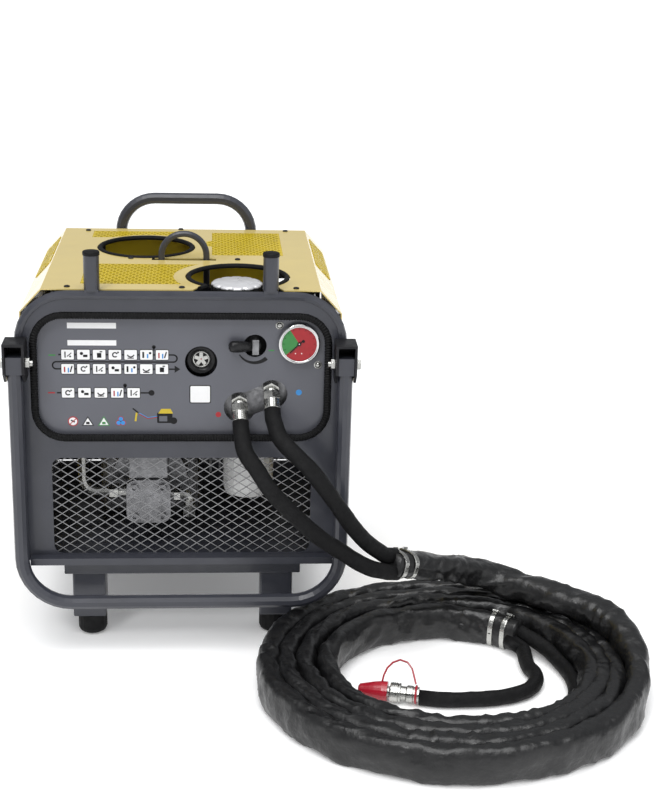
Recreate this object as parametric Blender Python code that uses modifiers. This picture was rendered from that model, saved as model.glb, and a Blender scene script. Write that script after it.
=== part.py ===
"""Petrol hydraulic power unit with a twin hose. Metres, +Z up, front towards -Y.

The origin is on the floor, under the middle of the machine's box.
"""
import bmesh
import bpy
import numpy as np
from math import cos, pi, radians, sin
from mathutils import Matrix, Vector

# Driving dimensions
FRONT_Y = -0.2395            # y of the front frame's face
GAP = 0.0003                 # clearance between touching pieces
FRAME_HALF = 0.266           # half width over the front rim
FRAME_TOP = 0.6107
FRAME_BOTTOM = 0.1460
RIM_R = 0.007
CORNER_R = 0.078
HOOD_HALF = 0.257
HOOD_TOP = 0.611
HOOD_SHOULDER_X = 0.2225     # where the flat top meets the shoulder
HOOD_SHOULDER_Z = 0.573
HOOD_REAR = 0.470            # depth behind the front face
SHEET = 0.002
PANEL_DEPTH = 0.0145
PANEL_T = 0.003
DECK_Z = 0.1502              # top of the deck plate
DECK_BACK = 0.4637           # depth of its rear edge, just before the rear guard
CRANK_X, CRANK_Z = -0.058, 0.250
GEAR_SPACING = 0.032
GEAR_TEETH = 14
PUMP_FRONT, PUMP_BACK = 0.048, 0.118
PIVOT_X, PIVOT_DEPTH, PIVOT_Z = 0.2615, -0.030, 0.5015
HANDLE_R = 0.0118
HANDLE_BAR_Z = 0.0865
WHEEL_R = 0.105
AXLE_DEPTH = 0.420
EYE_DEPTH = 0.225
OPENING_FRONT = (0.0905, 0.104)   # x and depth of the hood's round openings
OPENING_REAR = (-0.068, 0.317)
OPENING_R = 0.0865
PORT_P = (0.0939, 0.4137)
PORT_T = (0.1468, 0.4362)
SIGHT = (0.0307, 0.4913)
LEVER = (0.1174, 0.5186)
GAUGE = (0.1885, 0.5244)
COIL_CENTRE = (0.434, -0.1805)     # x and depth
COIL_OUTER, COIL_INNER, COIL_TOP = 0.312, 0.215, 0.064
COIL_DEPTH_SHARE = 0.925
HOSE_R = 0.0145

for thing in list(bpy.data.objects):
    bpy.data.objects.remove(thing, do_unlink=True)
PARTS = bpy.data.collections.new("hydraulic_power_unit")
bpy.context.scene.collection.children.link(PARTS)


def at(x, depth, z):
    """A point given by its depth behind the front face."""
    return Vector((x, FRONT_Y + depth, z))


# Materials
def material(name, colour, roughness, metallic=0.0):
    mat = bpy.data.materials.new(name)
    mat.use_nodes = True
    shader = mat.node_tree.nodes["Principled BSDF"]
    shader.inputs["Base Color"].default_value = (*colour, 1.0)
    shader.inputs["Roughness"].default_value = roughness
    shader.inputs["Metallic"].default_value = metallic
    return mat


YELLOW = material("yellow_paint", (0.83, 0.60, 0.06), 0.3)
GREY = material("grey_paint", (0.075, 0.078, 0.09), 0.4)
BLACK_METAL = material("black_metal", (0.02, 0.02, 0.022), 0.4, 0.5)
BLACK_RUBBER = material("black_rubber", (0.015, 0.015, 0.016), 0.7)
BLACK_PLASTIC = material("black_plastic", (0.02, 0.02, 0.02), 0.35)
STEEL = material("bright_steel", (0.7, 0.7, 0.68), 0.25, 1.0)
CHROME = material("chrome", (0.85, 0.85, 0.86), 0.1, 1.0)
CAST = material("cast_aluminium", (0.5, 0.5, 0.51), 0.5, 0.9)
WHITE = material("white_paint", (0.85, 0.85, 0.84), 0.35)
RED = material("red_plastic", (0.7, 0.03, 0.05), 0.35)
SLEEVE_CLOTH = material("black_sleeve", (0.02, 0.02, 0.022), 0.45)


# Shape helpers
def link(obj, mat=None, collection=None):
    for old in list(obj.users_collection):
        old.objects.unlink(obj)
    (collection or PARTS).objects.link(obj)
    if mat:
        obj.data.materials.clear()
        obj.data.materials.append(mat)
    return obj


def face_out(bm):
    """Turn a closed mesh's faces outwards."""
    bmesh.ops.recalc_face_normals(bm, faces=bm.faces)
    if bm.calc_volume(signed=True) < 0:
        bmesh.ops.reverse_faces(bm, faces=bm.faces)


def from_bmesh(name, bm, mat=None):
    face_out(bm)
    mesh = bpy.data.meshes.new(name)
    bm.to_mesh(mesh)
    bm.free()
    return link(bpy.data.objects.new(name, mesh), mat)


def smooth(obj, angle=35):
    obj.data.shade_smooth()
    obj.data.set_sharp_from_angle(angle=radians(angle))
    return obj


def box(name, x, depth, z, mat=None, bevel=0.0, segments=2):
    """A box from its ranges in x, depth and z, with rounded edges."""
    bm = bmesh.new()
    bmesh.ops.create_cube(bm, size=1.0)
    size = (x[1] - x[0], depth[1] - depth[0], z[1] - z[0])
    middle = at((x[0] + x[1]) / 2, (depth[0] + depth[1]) / 2, (z[0] + z[1]) / 2)
    bmesh.ops.scale(bm, vec=size, verts=bm.verts)
    if bevel:
        bmesh.ops.bevel(bm, geom=bm.edges[:], offset=bevel, segments=segments,
                        affect="EDGES", profile=0.5)
    bmesh.ops.translate(bm, vec=middle, verts=bm.verts)
    return from_bmesh(name, bm, mat)


def aim(direction):
    """The rotation that takes +Z to a direction."""
    return Vector(direction).normalized().to_track_quat("Z", "Y").to_matrix().to_4x4()


def rod(name, start, direction, radius, length, mat=None, sides=24, bevel=0.0, end_radius=None):
    """A cylinder, cone or polygonal prism from its start point."""
    bm = bmesh.new()
    top = radius if end_radius is None else end_radius
    bmesh.ops.create_cone(bm, cap_ends=True, segments=sides, radius1=radius, radius2=top, depth=length)
    if bevel:
        rims = [e for e in bm.edges if any(len(f.verts) > 4 for f in e.link_faces)]
        bmesh.ops.bevel(bm, geom=rims, offset=bevel, segments=2, affect="EDGES", profile=0.5)
    bmesh.ops.translate(bm, vec=(0, 0, length / 2), verts=bm.verts)
    bm.transform(Matrix.Translation(Vector(start)) @ aim(direction))
    return from_bmesh(name, bm, mat)


def turned(name, profile, base, direction, mat=None, steps=20):
    """A profile of (radius, height) points, top to bottom, turned about an axis."""
    mesh = bpy.data.meshes.new(name)
    count = len(profile)
    loop = profile[0][0] > 0
    edges = [(i, i + 1) for i in range(count - 1)] + ([(count - 1, 0)] if loop else [])
    mesh.from_pydata([(r, 0, h) for r, h in profile], edges, [])
    obj = bpy.data.objects.new(name, mesh)
    link(obj)
    turn = obj.modifiers.new("turn", "SCREW")
    turn.steps = turn.render_steps = steps
    turn.use_merge_vertices = True
    turn.merge_threshold = 0.00001
    obj = fixed(obj)
    bm = bmesh.new()
    bm.from_mesh(obj.data)
    bmesh.ops.remove_doubles(bm, verts=bm.verts, dist=0.00001)
    face_out(bm)
    bm.transform(Matrix.Translation(Vector(base)) @ aim(direction))
    bm.to_mesh(obj.data)
    bm.free()
    if mat:
        obj.data.materials.append(mat)
    return smooth(obj)


def fixed(obj):
    """The object with its modifiers or curve made into a plain mesh."""
    name = obj.name
    graph = bpy.context.evaluated_depsgraph_get()
    mesh = bpy.data.meshes.new_from_object(obj.evaluated_get(graph))
    new = bpy.data.objects.new(name + "_mesh", mesh)
    new.matrix_world = obj.matrix_world.copy()
    bpy.data.objects.remove(obj, do_unlink=True)
    new.name = name
    return link(new)


def tube(name, points, radius, mat=None, closed=False, resolution=2):
    """A round bar or hose along its points."""
    curve = bpy.data.curves.new(name, "CURVE")
    curve.dimensions = "3D"
    curve.bevel_depth = radius
    curve.bevel_resolution = resolution
    curve.use_fill_caps = True
    spline = curve.splines.new("POLY")
    spline.points.add(len(points) - 1)
    for point, place in zip(spline.points, points):
        point.co = (*place, 1.0)
    spline.use_cyclic_u = closed
    obj = fixed(link(bpy.data.objects.new(name, curve)))
    bm = bmesh.new()
    bm.from_mesh(obj.data)
    bmesh.ops.remove_doubles(bm, verts=bm.verts, dist=0.00001)
    face_out(bm)
    bm.to_mesh(obj.data)
    bm.free()
    obj.data.materials.clear()
    if mat:
        obj.data.materials.append(mat)
    return smooth(obj, 50)


def plate(name, outline, depth, mat=None):
    """A flat piece parallel to the front, from an outline in x and z."""
    bm = bmesh.new()
    face = bm.faces.new([bm.verts.new(at(x, depth[0], z)) for x, z in outline])
    new = bmesh.ops.extrude_face_region(bm, geom=[face])["geom"]
    moved = [v for v in new if isinstance(v, bmesh.types.BMVert)]
    bmesh.ops.translate(bm, vec=(0, depth[1] - depth[0], 0), verts=moved)
    return from_bmesh(name, bm, mat)


def apply_boolean(obj, tool, operation):
    boolean = obj.modifiers.new(operation.lower(), "BOOLEAN")
    boolean.operation = operation
    boolean.solver = "EXACT"
    boolean.object = tool
    mats = [m for m in obj.data.materials][:1]
    obj = fixed(obj)
    bpy.data.objects.remove(tool, do_unlink=True)
    bm = bmesh.new()
    bm.from_mesh(obj.data)
    bmesh.ops.remove_doubles(bm, verts=bm.verts, dist=0.000002)
    bmesh.ops.dissolve_limit(bm, angle_limit=0.0005, verts=bm.verts, edges=bm.edges)
    for face in bm.faces:
        face.material_index = 0
    bm.to_mesh(obj.data)
    bm.free()
    obj.data.materials.clear()
    for mat in mats:
        obj.data.materials.append(mat)
    return obj


def cut(obj, *tools):
    for tool in tools:
        obj = apply_boolean(obj, tool, "DIFFERENCE")
    return obj


def union(obj, *tools):
    for tool in tools:
        obj = apply_boolean(obj, tool, "UNION")
    return obj


# Outlines and paths
def arc(centre, radius, start, end, steps):
    """Points on an arc, in degrees, both ends included."""
    return [(centre[0] + radius * cos(radians(a)), centre[1] + radius * sin(radians(a)))
            for a in np.linspace(start, end, steps + 1)]


def rounded(left, right, bottom, top, radii, steps=6):
    """A rounded rectangle, its corner radii from the lower right, anticlockwise."""
    corners = [(right, bottom, -90, -1, 1), (right, top, 0, -1, -1), (left, top, 90, 1, -1),
               (left, bottom, 180, 1, 1)]
    points = []
    for (x, z, start, sx, sz), r in zip(corners, radii):
        points += arc((x + sx * r, z + sz * r), r, start, start + 90, steps)
    return points


def bent(points, radius, steps=6):
    """A path with its inner corners rounded."""
    points = [Vector(p) for p in points]
    path = [points[0]]
    for before, corner, after in zip(points, points[1:], points[2:]):
        a = (before - corner).normalized()
        b = (after - corner).normalized()
        half = a.angle(b) / 2
        reach = radius / np.tan(half)
        centre = corner + (a + b).normalized() * (radius / sin(half))
        start = corner + a * reach - centre
        end = corner + b * reach - centre
        turn = start.angle(end)
        for i in range(steps + 1):
            t = i / steps
            path.append(centre + (start * sin((1 - t) * turn) + end * sin(t * turn)) / sin(turn))
    return path + [points[-1]]


def flowing(points, spacing):
    """Evenly spaced points on a smooth curve through a route's points."""
    p = [Vector(q) for q in points]
    p = [2 * p[0] - p[1]] + p + [2 * p[-1] - p[-2]]
    fine = []
    for i in range(1, len(p) - 2):
        for t in np.arange(0.0, 1.0, 0.04):
            a, b, c, d = p[i - 1:i + 3]
            fine.append(0.5 * (2 * b + (c - a) * t + (2 * a - 5 * b + 4 * c - d) * t ** 2
                               + (3 * b - a - 3 * c + d) * t ** 3))
    fine.append(p[-2])
    run = np.cumsum([0] + [(fine[i + 1] - fine[i]).length for i in range(len(fine) - 1)])
    count = max(2, round(run[-1] / spacing))
    places = np.linspace(0, run[-1], count + 1)
    return [Vector([np.interp(s, run, [f[k] for f in fine]) for k in range(3)]) for s in places]


def hose_path(points, spacing):
    """A smooth route whose first and last stretches stay straight."""
    return [Vector(points[0])] + flowing(points[1:-1], spacing) + [Vector(points[-1])]


def mirrored(points):
    """An outline's right half with its mirror image."""
    return points + [(-x, z) for x, z in reversed(points)]


def casing():
    """The grey front, the yellow hood, the rear guard and their trims."""
    inset = RIM_R
    sheet = plate("front_frame", rounded(-FRAME_HALF + inset, FRAME_HALF - inset, FRAME_BOTTOM,
                                         FRAME_TOP - inset, (0.012, CORNER_R, CORNER_R, 0.012)),
                  (0.004, 0.0075), GREY)
    half, top = FRAME_HALF - inset, FRAME_TOP - inset
    path = bent([at(-half, inset, 0.150), at(-half, inset, top), at(half, inset, top),
                 at(half, inset, 0.150)], CORNER_R, 8)
    sheet = union(sheet, tube("rim", path, RIM_R, GREY),
                  box("lip", (-0.2505, 0.2505), (-0.014, 0.0045), (FRAME_BOTTOM, 0.158), GREY))
    panel_hole = rounded(-0.242, 0.242, 0.3582, 0.5766, (0.0533,) * 4)
    window = rounded(-0.2125, 0.2125, 0.159, 0.3296, (0.0157,) * 4, 3)
    posts = []
    for x in (-0.1415, 0.1415):
        posts += [rod("post", at(x, 0.0115, HOOD_TOP + GAP), (0, 0, 1), 0.0125, 0.0590, GREY),
                  box("weld", (x - 0.011, x + 0.011), (0.002, 0.0138),
                      (FRAME_TOP - 0.005, HOOD_TOP + 0.002), GREY)]
    smooth(cut(union(sheet, *posts), plate("panel_hole", panel_hole, (-0.02, 0.03)),
               plate("window", window, (-0.02, 0.03))))

    trim = rounded(-0.2357, 0.2357, 0.3645, 0.5703, (0.047,) * 4)
    tube("panel_edge_trim", [at(x, 0.0055, z) for x, z in trim], 0.0059, BLACK_RUBBER, closed=True)

    panel = plate("control_panel", rounded(-0.250, 0.250, 0.350, 0.586, (0.05,) * 4),
                  (PANEL_DEPTH, PANEL_DEPTH + PANEL_T), GREY)
    front = PANEL_DEPTH - 0.01
    holes = [rod("hole", at(x, front, z), (0, 1, 0), r, 0.03, sides=28)
             for (x, z), r in ((SIGHT, 0.0262), (LEVER, 0.019), (GAUGE, 0.0300),
                               (PORT_P, 0.0262), (PORT_T, 0.0245))]
    run = Vector((PORT_T[0] - PORT_P[0], PORT_T[1] - PORT_P[1])).normalized() * 0.021
    side = [(PORT_P[0] - run.y, PORT_P[1] + run.x), (PORT_P[0] + run.y, PORT_P[1] - run.x),
            (PORT_T[0] + run.y, PORT_T[1] - run.x), (PORT_T[0] - run.y, PORT_T[1] + run.x)]
    channel = plate("channel", side, (front, front + 0.03))
    smooth(cut(panel, *holes, channel))
    grille()
    hood()


def grille():
    """The expanded-metal sheet behind the window, with coarse diamonds."""
    sheet = plate("front_grille", rounded(-0.222, 0.222, 0.1525, 0.338, (0.012,) * 4, 2),
                  (0.0078, 0.0093), BLACK_METAL)
    across, up, web = 0.0705, 0.045, 0.0025
    bm = bmesh.new()
    for row in range(-6, 7):
        for column in range(-9, 10):
            if (row + column) % 2:
                continue
            x, z = column * across / 2, 0.2443 + row * up / 2
            reach = 1 - 2 * web / up
            if abs(x) + across / 2 > 0.2130 or not 0.1585 < z - up / 2 < z + up / 2 < 0.3305:
                continue
            shape = [(x + dx * reach * across / 2, z + dz * reach * up / 2)
                     for dx, dz in ((1, 0), (0, 1), (-1, 0), (0, -1))]
            face = bm.faces.new([bm.verts.new(at(px, 0.0, pz)) for px, pz in shape])
            new = bmesh.ops.extrude_face_region(bm, geom=[face])["geom"]
            bmesh.ops.translate(bm, vec=(0, 0.02, 0),
                                verts=[v for v in new if isinstance(v, bmesh.types.BMVert)])
    cut(sheet, from_bmesh("diamonds", bm))


def hood():
    """The folded sheet hood with its openings, the rear guard and the edge trims."""
    section = [(HOOD_HALF, 0.151), (HOOD_HALF, HOOD_SHOULDER_Z), (HOOD_SHOULDER_X, HOOD_TOP)]
    bm = bmesh.new()
    rows = [[bm.verts.new(at(x, depth, z)) for x, z in mirrored(section)]
            for depth in (0.0145, HOOD_REAR)]
    for i in range(len(rows[0]) - 1):
        bm.faces.new((rows[0][i], rows[1][i], rows[1][i + 1], rows[0][i + 1]))
    mesh = bpy.data.meshes.new("hood")
    bm.to_mesh(mesh)
    bm.free()
    sheet = link(bpy.data.objects.new("hood", mesh), YELLOW)
    thick = sheet.modifiers.new("thickness", "SOLIDIFY")
    thick.thickness = SHEET
    thick.offset = -1.0
    thick.use_even_offset = True
    sheet = fixed(sheet)
    fx, fd = OPENING_FRONT
    neck = [(-0.075, 0.010), (-0.0728, 0.0145), (-0.0595, 0.041), (0.0595, 0.041), (0.0728, 0.0145),
            (0.075, 0.010)]
    bm = bmesh.new()
    face = bm.faces.new([bm.verts.new(at(fx + x, depth, 0.58)) for x, depth in neck])
    new = bmesh.ops.extrude_face_region(bm, geom=[face])["geom"]
    bmesh.ops.translate(bm, vec=(0, 0, 0.06), verts=[v for v in new if isinstance(v, bmesh.types.BMVert)])
    mouth = from_bmesh("mouth", bm)
    sheet = cut(sheet, mouth,
                rod("front_opening", at(fx, fd, 0.58), (0, 0, 1), OPENING_R, 0.06, sides=48),
                rod("rear_opening", at(*OPENING_REAR, 0.58), (0, 0, 1), OPENING_R, 0.06, sides=48),
                box("eye_slit", (-0.055, 0.055), (EYE_DEPTH - 0.0075, EYE_DEPTH + 0.0075), (0.58, 0.64)))
    smooth(sheet, 20)

    ring_r = OPENING_R - 0.0051
    ring = [at(x, d, 0.6100) for x, d in arc(OPENING_REAR, ring_r, 0, 360 - 10, 35)]
    tube("opening_trim_rear", ring, 0.0042, BLACK_RUBBER, closed=True)
    round_part = arc((0, 0.104), ring_r, -48, 228, 28)
    path = [(0.0624, 0.026), (0.0528, 0.0405)] + round_part + [(-0.0528, 0.0405), (-0.0624, 0.026)]
    tube("opening_trim_front", [at(fx + x, d, 0.6100) for x, d in path], 0.0042, BLACK_RUBBER)

    half = [(0.2535, 0.152), (0.2535, 0.570), (0.2195, 0.6075)]
    guard = plate("rear_guard", mirrored(half), (0.464, 0.4665), GREY)
    slots = [box("slot", (x, x + 0.055), (0.45, 0.48), (z, z + 0.009))
             for x in (-0.225, 0.17) for z in np.arange(0.24, 0.53, 0.03)]
    smooth(cut(guard, rod("starter_hole", at(CRANK_X, 0.45, CRANK_Z), (0, 1, 0), 0.088, 0.03, sides=40),
               *slots))


def handles():
    """Rear bow handle, lifting arch and eye, and the folding pull handle."""
    depth, half, top = 0.4835, 0.121, 0.6664
    path = bent([at(-half, depth, 0.36), at(-half, depth, top), at(half, depth, top),
                 at(half, depth, 0.36)], 0.063, 9)
    tube("rear_handle", path, 0.0105, GREY, resolution=3)

    half, top = 0.0385, 0.6557
    eye = bent([at(-half, EYE_DEPTH, 0.561), at(-half, EYE_DEPTH, top), at(half, EYE_DEPTH, top),
                at(half, EYE_DEPTH, 0.561)], half - 0.0005, 10)
    bars = [((-0.235, 0.235), (0.556, 0.564)), ((-0.235, -0.227), (0.1505, 0.564)),
            ((0.227, 0.235), (0.1505, 0.564))]
    arch = [box("arch", x, (EYE_DEPTH - 0.014, EYE_DEPTH + 0.014), z, GREY) for x, z in bars]
    arch[0].name = "lifting_frame"
    smooth(union(arch[0], arch[1], arch[2], tube("eye", eye, 0.0055, GREY, resolution=3)))

    legs = [(-PIVOT_X, PIVOT_Z - 0.012), (-PIVOT_X, HANDLE_BAR_Z), (PIVOT_X, HANDLE_BAR_Z),
            (PIVOT_X, PIVOT_Z - 0.012)]
    handle = tube("pull_handle", bent([at(x, PIVOT_DEPTH, z) for x, z in legs], 0.080, 9), HANDLE_R, GREY,
                  resolution=3)
    for side in (-1, 1):
        x = side * PIVOT_X
        block = box("block", (x - 0.0125, x + 0.0125), (PIVOT_DEPTH - 0.0125, PIVOT_DEPTH + 0.0125),
                    (PIVOT_Z - 0.016, PIVOT_Z + 0.0125), GREY)
        handle = union(handle, block)
    handle = cut(handle, *[rod("bore", at(side * PIVOT_X - 0.03, PIVOT_DEPTH, PIVOT_Z), (1, 0, 0), 0.0054,
                               0.06,
                               sides=16) for side in (-1, 1)])
    smooth(handle)
    for side, name in ((-1, "left"), (1, "right")):
        bracket(side, name)


def bracket(side, name):
    """A clevis with its pivot bolt and nut."""
    x = side * PIVOT_X
    inner, outer, top, bottom = 0.0132, 0.0170, PIVOT_Z + 0.0345, PIVOT_Z - 0.031
    front, back = PIVOT_DEPTH - 0.016, -0.0005
    body = box(f"handle_bracket_{name}", (x - outer, x + outer), (back - 0.004, back), (bottom, top),
               BLACK_METAL)
    body = union(body, box("roof", (x - outer, x + outer), (front, back), (top - 0.004, top), BLACK_METAL))
    for a, b in ((-outer, -inner), (inner, outer)):
        outline = [(back, top), (front, top), (front, PIVOT_Z - 0.014), (PIVOT_DEPTH, bottom), (back, bottom)]
        bm = bmesh.new()
        face = bm.faces.new([bm.verts.new(at(x + a, d, z)) for d, z in outline])
        new = bmesh.ops.extrude_face_region(bm, geom=[face])["geom"]
        bmesh.ops.translate(bm, vec=(b - a, 0, 0), verts=[v for v in new if isinstance(v,
                bmesh.types.BMVert)])
        body = union(body, from_bmesh("cheek", bm, BLACK_METAL))
    smooth(cut(body, rod("bore", at(x - 0.03, PIVOT_DEPTH, PIVOT_Z), (1, 0, 0), 0.0054, 0.06, sides=16)))
    pivot = at(x, PIVOT_DEPTH, PIVOT_Z)
    out = Vector((side, 0, 0))
    shank = rod(f"pivot_bolt_{name}", pivot - out * 0.0285, out, 0.0048, 0.048, STEEL, 16)
    smooth(union(shank, rod("head", pivot + out * (outer + GAP), out, 0.0085, 0.0068, STEEL, 6, 0.0006),
                 rod("nut", pivot - out * (outer + GAP), -out, 0.0085, 0.0068, STEEL, 6, 0.0006)))


def base():
    """Deck, rails, front stand, feet, axle and wheels."""
    deck = box("base_frame", (-0.250, 0.250), (0.0097, DECK_BACK), (DECK_Z - 0.0035, DECK_Z), GREY)
    for side in (-1, 1):
        rail = (min(side * 0.138, side * 0.178), max(side * 0.138, side * 0.178))
        deck = union(deck, box("rail", rail, (0.0705, 0.455), (0.088, DECK_Z - 0.002), GREY))
    smooth(cut(deck, rod("axle_hole", at(-0.3, AXLE_DEPTH, WHEEL_R), (1, 0, 0), 0.0088, 0.6)))
    stand = box("front_stand", (-0.198, 0.198), (0.0095, 0.040), (0.1185, FRAME_BOTTOM - 0.0004), GREY, 0.002)
    for side, name in ((-1, "left"), (1, "right")):
        x = side * 0.158
        leg = box("leg", (x - 0.0275, x + 0.0275), (0.016, 0.068), (0.036, FRAME_BOTTOM - 0.0006), GREY,
                  0.003)
        stand = union(stand, leg)
        foot = [(0, 0.0355), (0.0245, 0.0355), (0.0245, 0.009), (0.0225, 0.004), (0.018, 0.001), (0.013, 0),
                (0, 0)]
        turned(f"foot_{name}", foot, at(side * 0.155, 0.042, 0), (0, 0, 1), BLACK_RUBBER)
    smooth(stand)
    rod("axle", at(-0.296, AXLE_DEPTH, WHEEL_R), (1, 0, 0), 0.0085, 0.592, STEEL, 20, 0.001)
    tread, rim_r, width = 0.036, 0.068, 0.030
    for side, name in ((-1, "left"), (1, "right")):
        tyre = [(rim_r, tread), (WHEEL_R - 0.010, tread), (WHEEL_R - 0.002, tread - 0.006),
                (WHEEL_R, tread - 0.012),
                (WHEEL_R, 0.012), (WHEEL_R - 0.002, 0.006), (WHEEL_R - 0.010, 0), (rim_r, 0)]
        start = at(side * 0.2595, AXLE_DEPTH, WHEEL_R)
        turned(f"wheel_tyre_{name}", tyre, start, (side, 0, 0), BLACK_RUBBER, 24)
        hub = [(0.0088, width + 0.004), (0.020, width + 0.004), (0.022, 0.022), (0.055, 0.020),
               (0.060, width),
               (rim_r - GAP, width), (rim_r - GAP, 0.004), (0.060, 0.004), (0.055, 0.014), (0.022, 0.012),
               (0.020, 0.0), (0.0088, 0.0)]
        turned(f"wheel_hub_{name}", hub, start, (side, 0, 0), GREY, 24)


def gear(name, x, z, phase, mat):
    """A spur gear with straight-sided teeth, on an axis along y."""
    root, tip = GEAR_SPACING / 2 - 0.0026, GEAR_SPACING / 2 + 0.0017
    outline = []
    for tooth in range(GEAR_TEETH):
        for part, r in ((-0.30, root), (-0.13, tip), (0.13, tip), (0.30, root)):
            a = 2 * pi * (tooth + part + phase) / GEAR_TEETH
            outline.append((x + r * cos(a), z + r * sin(a)))
    wheel = plate(name, outline, (0.0683, 0.0957), mat)
    return cut(wheel, rod("bore", at(x, 0.05, z), (0, 1, 0), 0.0088, 0.06, sides=20))


def pump():
    """Gear pump with its two gears, and what bolts to it."""
    low = CRANK_Z - GEAR_SPACING
    mid = (CRANK_Z + low) / 2
    body = plate("pump_body", rounded(CRANK_X - 0.037, CRANK_X + 0.037, mid - 0.0385, mid + 0.0385,
                                      (0.016,) * 4, 4),
                 (PUMP_FRONT, PUMP_BACK), CAST)
    for dx in (-0.0235, 0.0235):
        for dz in (-0.026, 0.026):
            screw = rod("screw", at(CRANK_X + dx, PUMP_FRONT - 0.007, mid + dz), (0, 1, 0), 0.007, 0.009,
                        STEEL, 16)
            socket = rod("socket", at(CRANK_X + dx, PUMP_FRONT - 0.008, mid + dz), (0, 1, 0), 0.0036, 0.005,
                         None, 6)
            body = cut(union(body, screw), socket)
    chambers = [rod("chamber", at(CRANK_X, 0.068, z), (0, 1, 0), GEAR_SPACING / 2 + 0.0023, 0.028, sides=32)
                for z in (CRANK_Z, low)]
    shaft_bore = rod("bore", at(CRANK_X, 0.056, CRANK_Z), (0, 1, 0), 0.0090, 0.08)
    smooth(cut(body, *chambers, shaft_bore))
    gear("drive_gear", CRANK_X, CRANK_Z, 0.25, STEEL)
    gear("driven_gear", CRANK_X, low, 0.25, STEEL)
    box("pump_adaptor", (CRANK_X - 0.033, CRANK_X + 0.033), (0.053, 0.110), (mid + 0.0388, mid + 0.112),
        CAST, 0.003)
    left = CRANK_X - 0.0373
    pipe = bent([at(-0.170, 0.083, 0.3595), at(-0.170, 0.083, mid + 0.006),
                 at(left - 0.002, 0.083, mid + 0.006)], 0.024)
    pipe = tube("suction_pipe", pipe, 0.0075, STEEL)
    nut = rod("nut", at(left - 0.030, 0.083, mid + 0.006), (1, 0, 0), 0.0135, 0.016, STEEL, 6, 0.0008)
    stub = rod("stub", at(left - 0.014, 0.083, mid + 0.006), (1, 0, 0), 0.0115, 0.014, STEEL, 20)
    smooth(union(pipe, nut, stub))
    right = CRANK_X + 0.0373
    elbow = bent([at(right, 0.083, mid), at(0.010, 0.083, mid), at(0.010, 0.083, mid - 0.030)], 0.010)
    elbow = tube("pump_elbow", elbow, 0.0085, STEEL)
    smooth(union(elbow, rod("nut", at(right + 0.004, 0.083, mid), (1, 0, 0), 0.013, 0.012, STEEL, 6, 0.0008),
                 rod("swivel", at(0.010, 0.083, mid - 0.018), (0, 0, -1), 0.0115, 0.022, STEEL, 6, 0.0008)))


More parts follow.
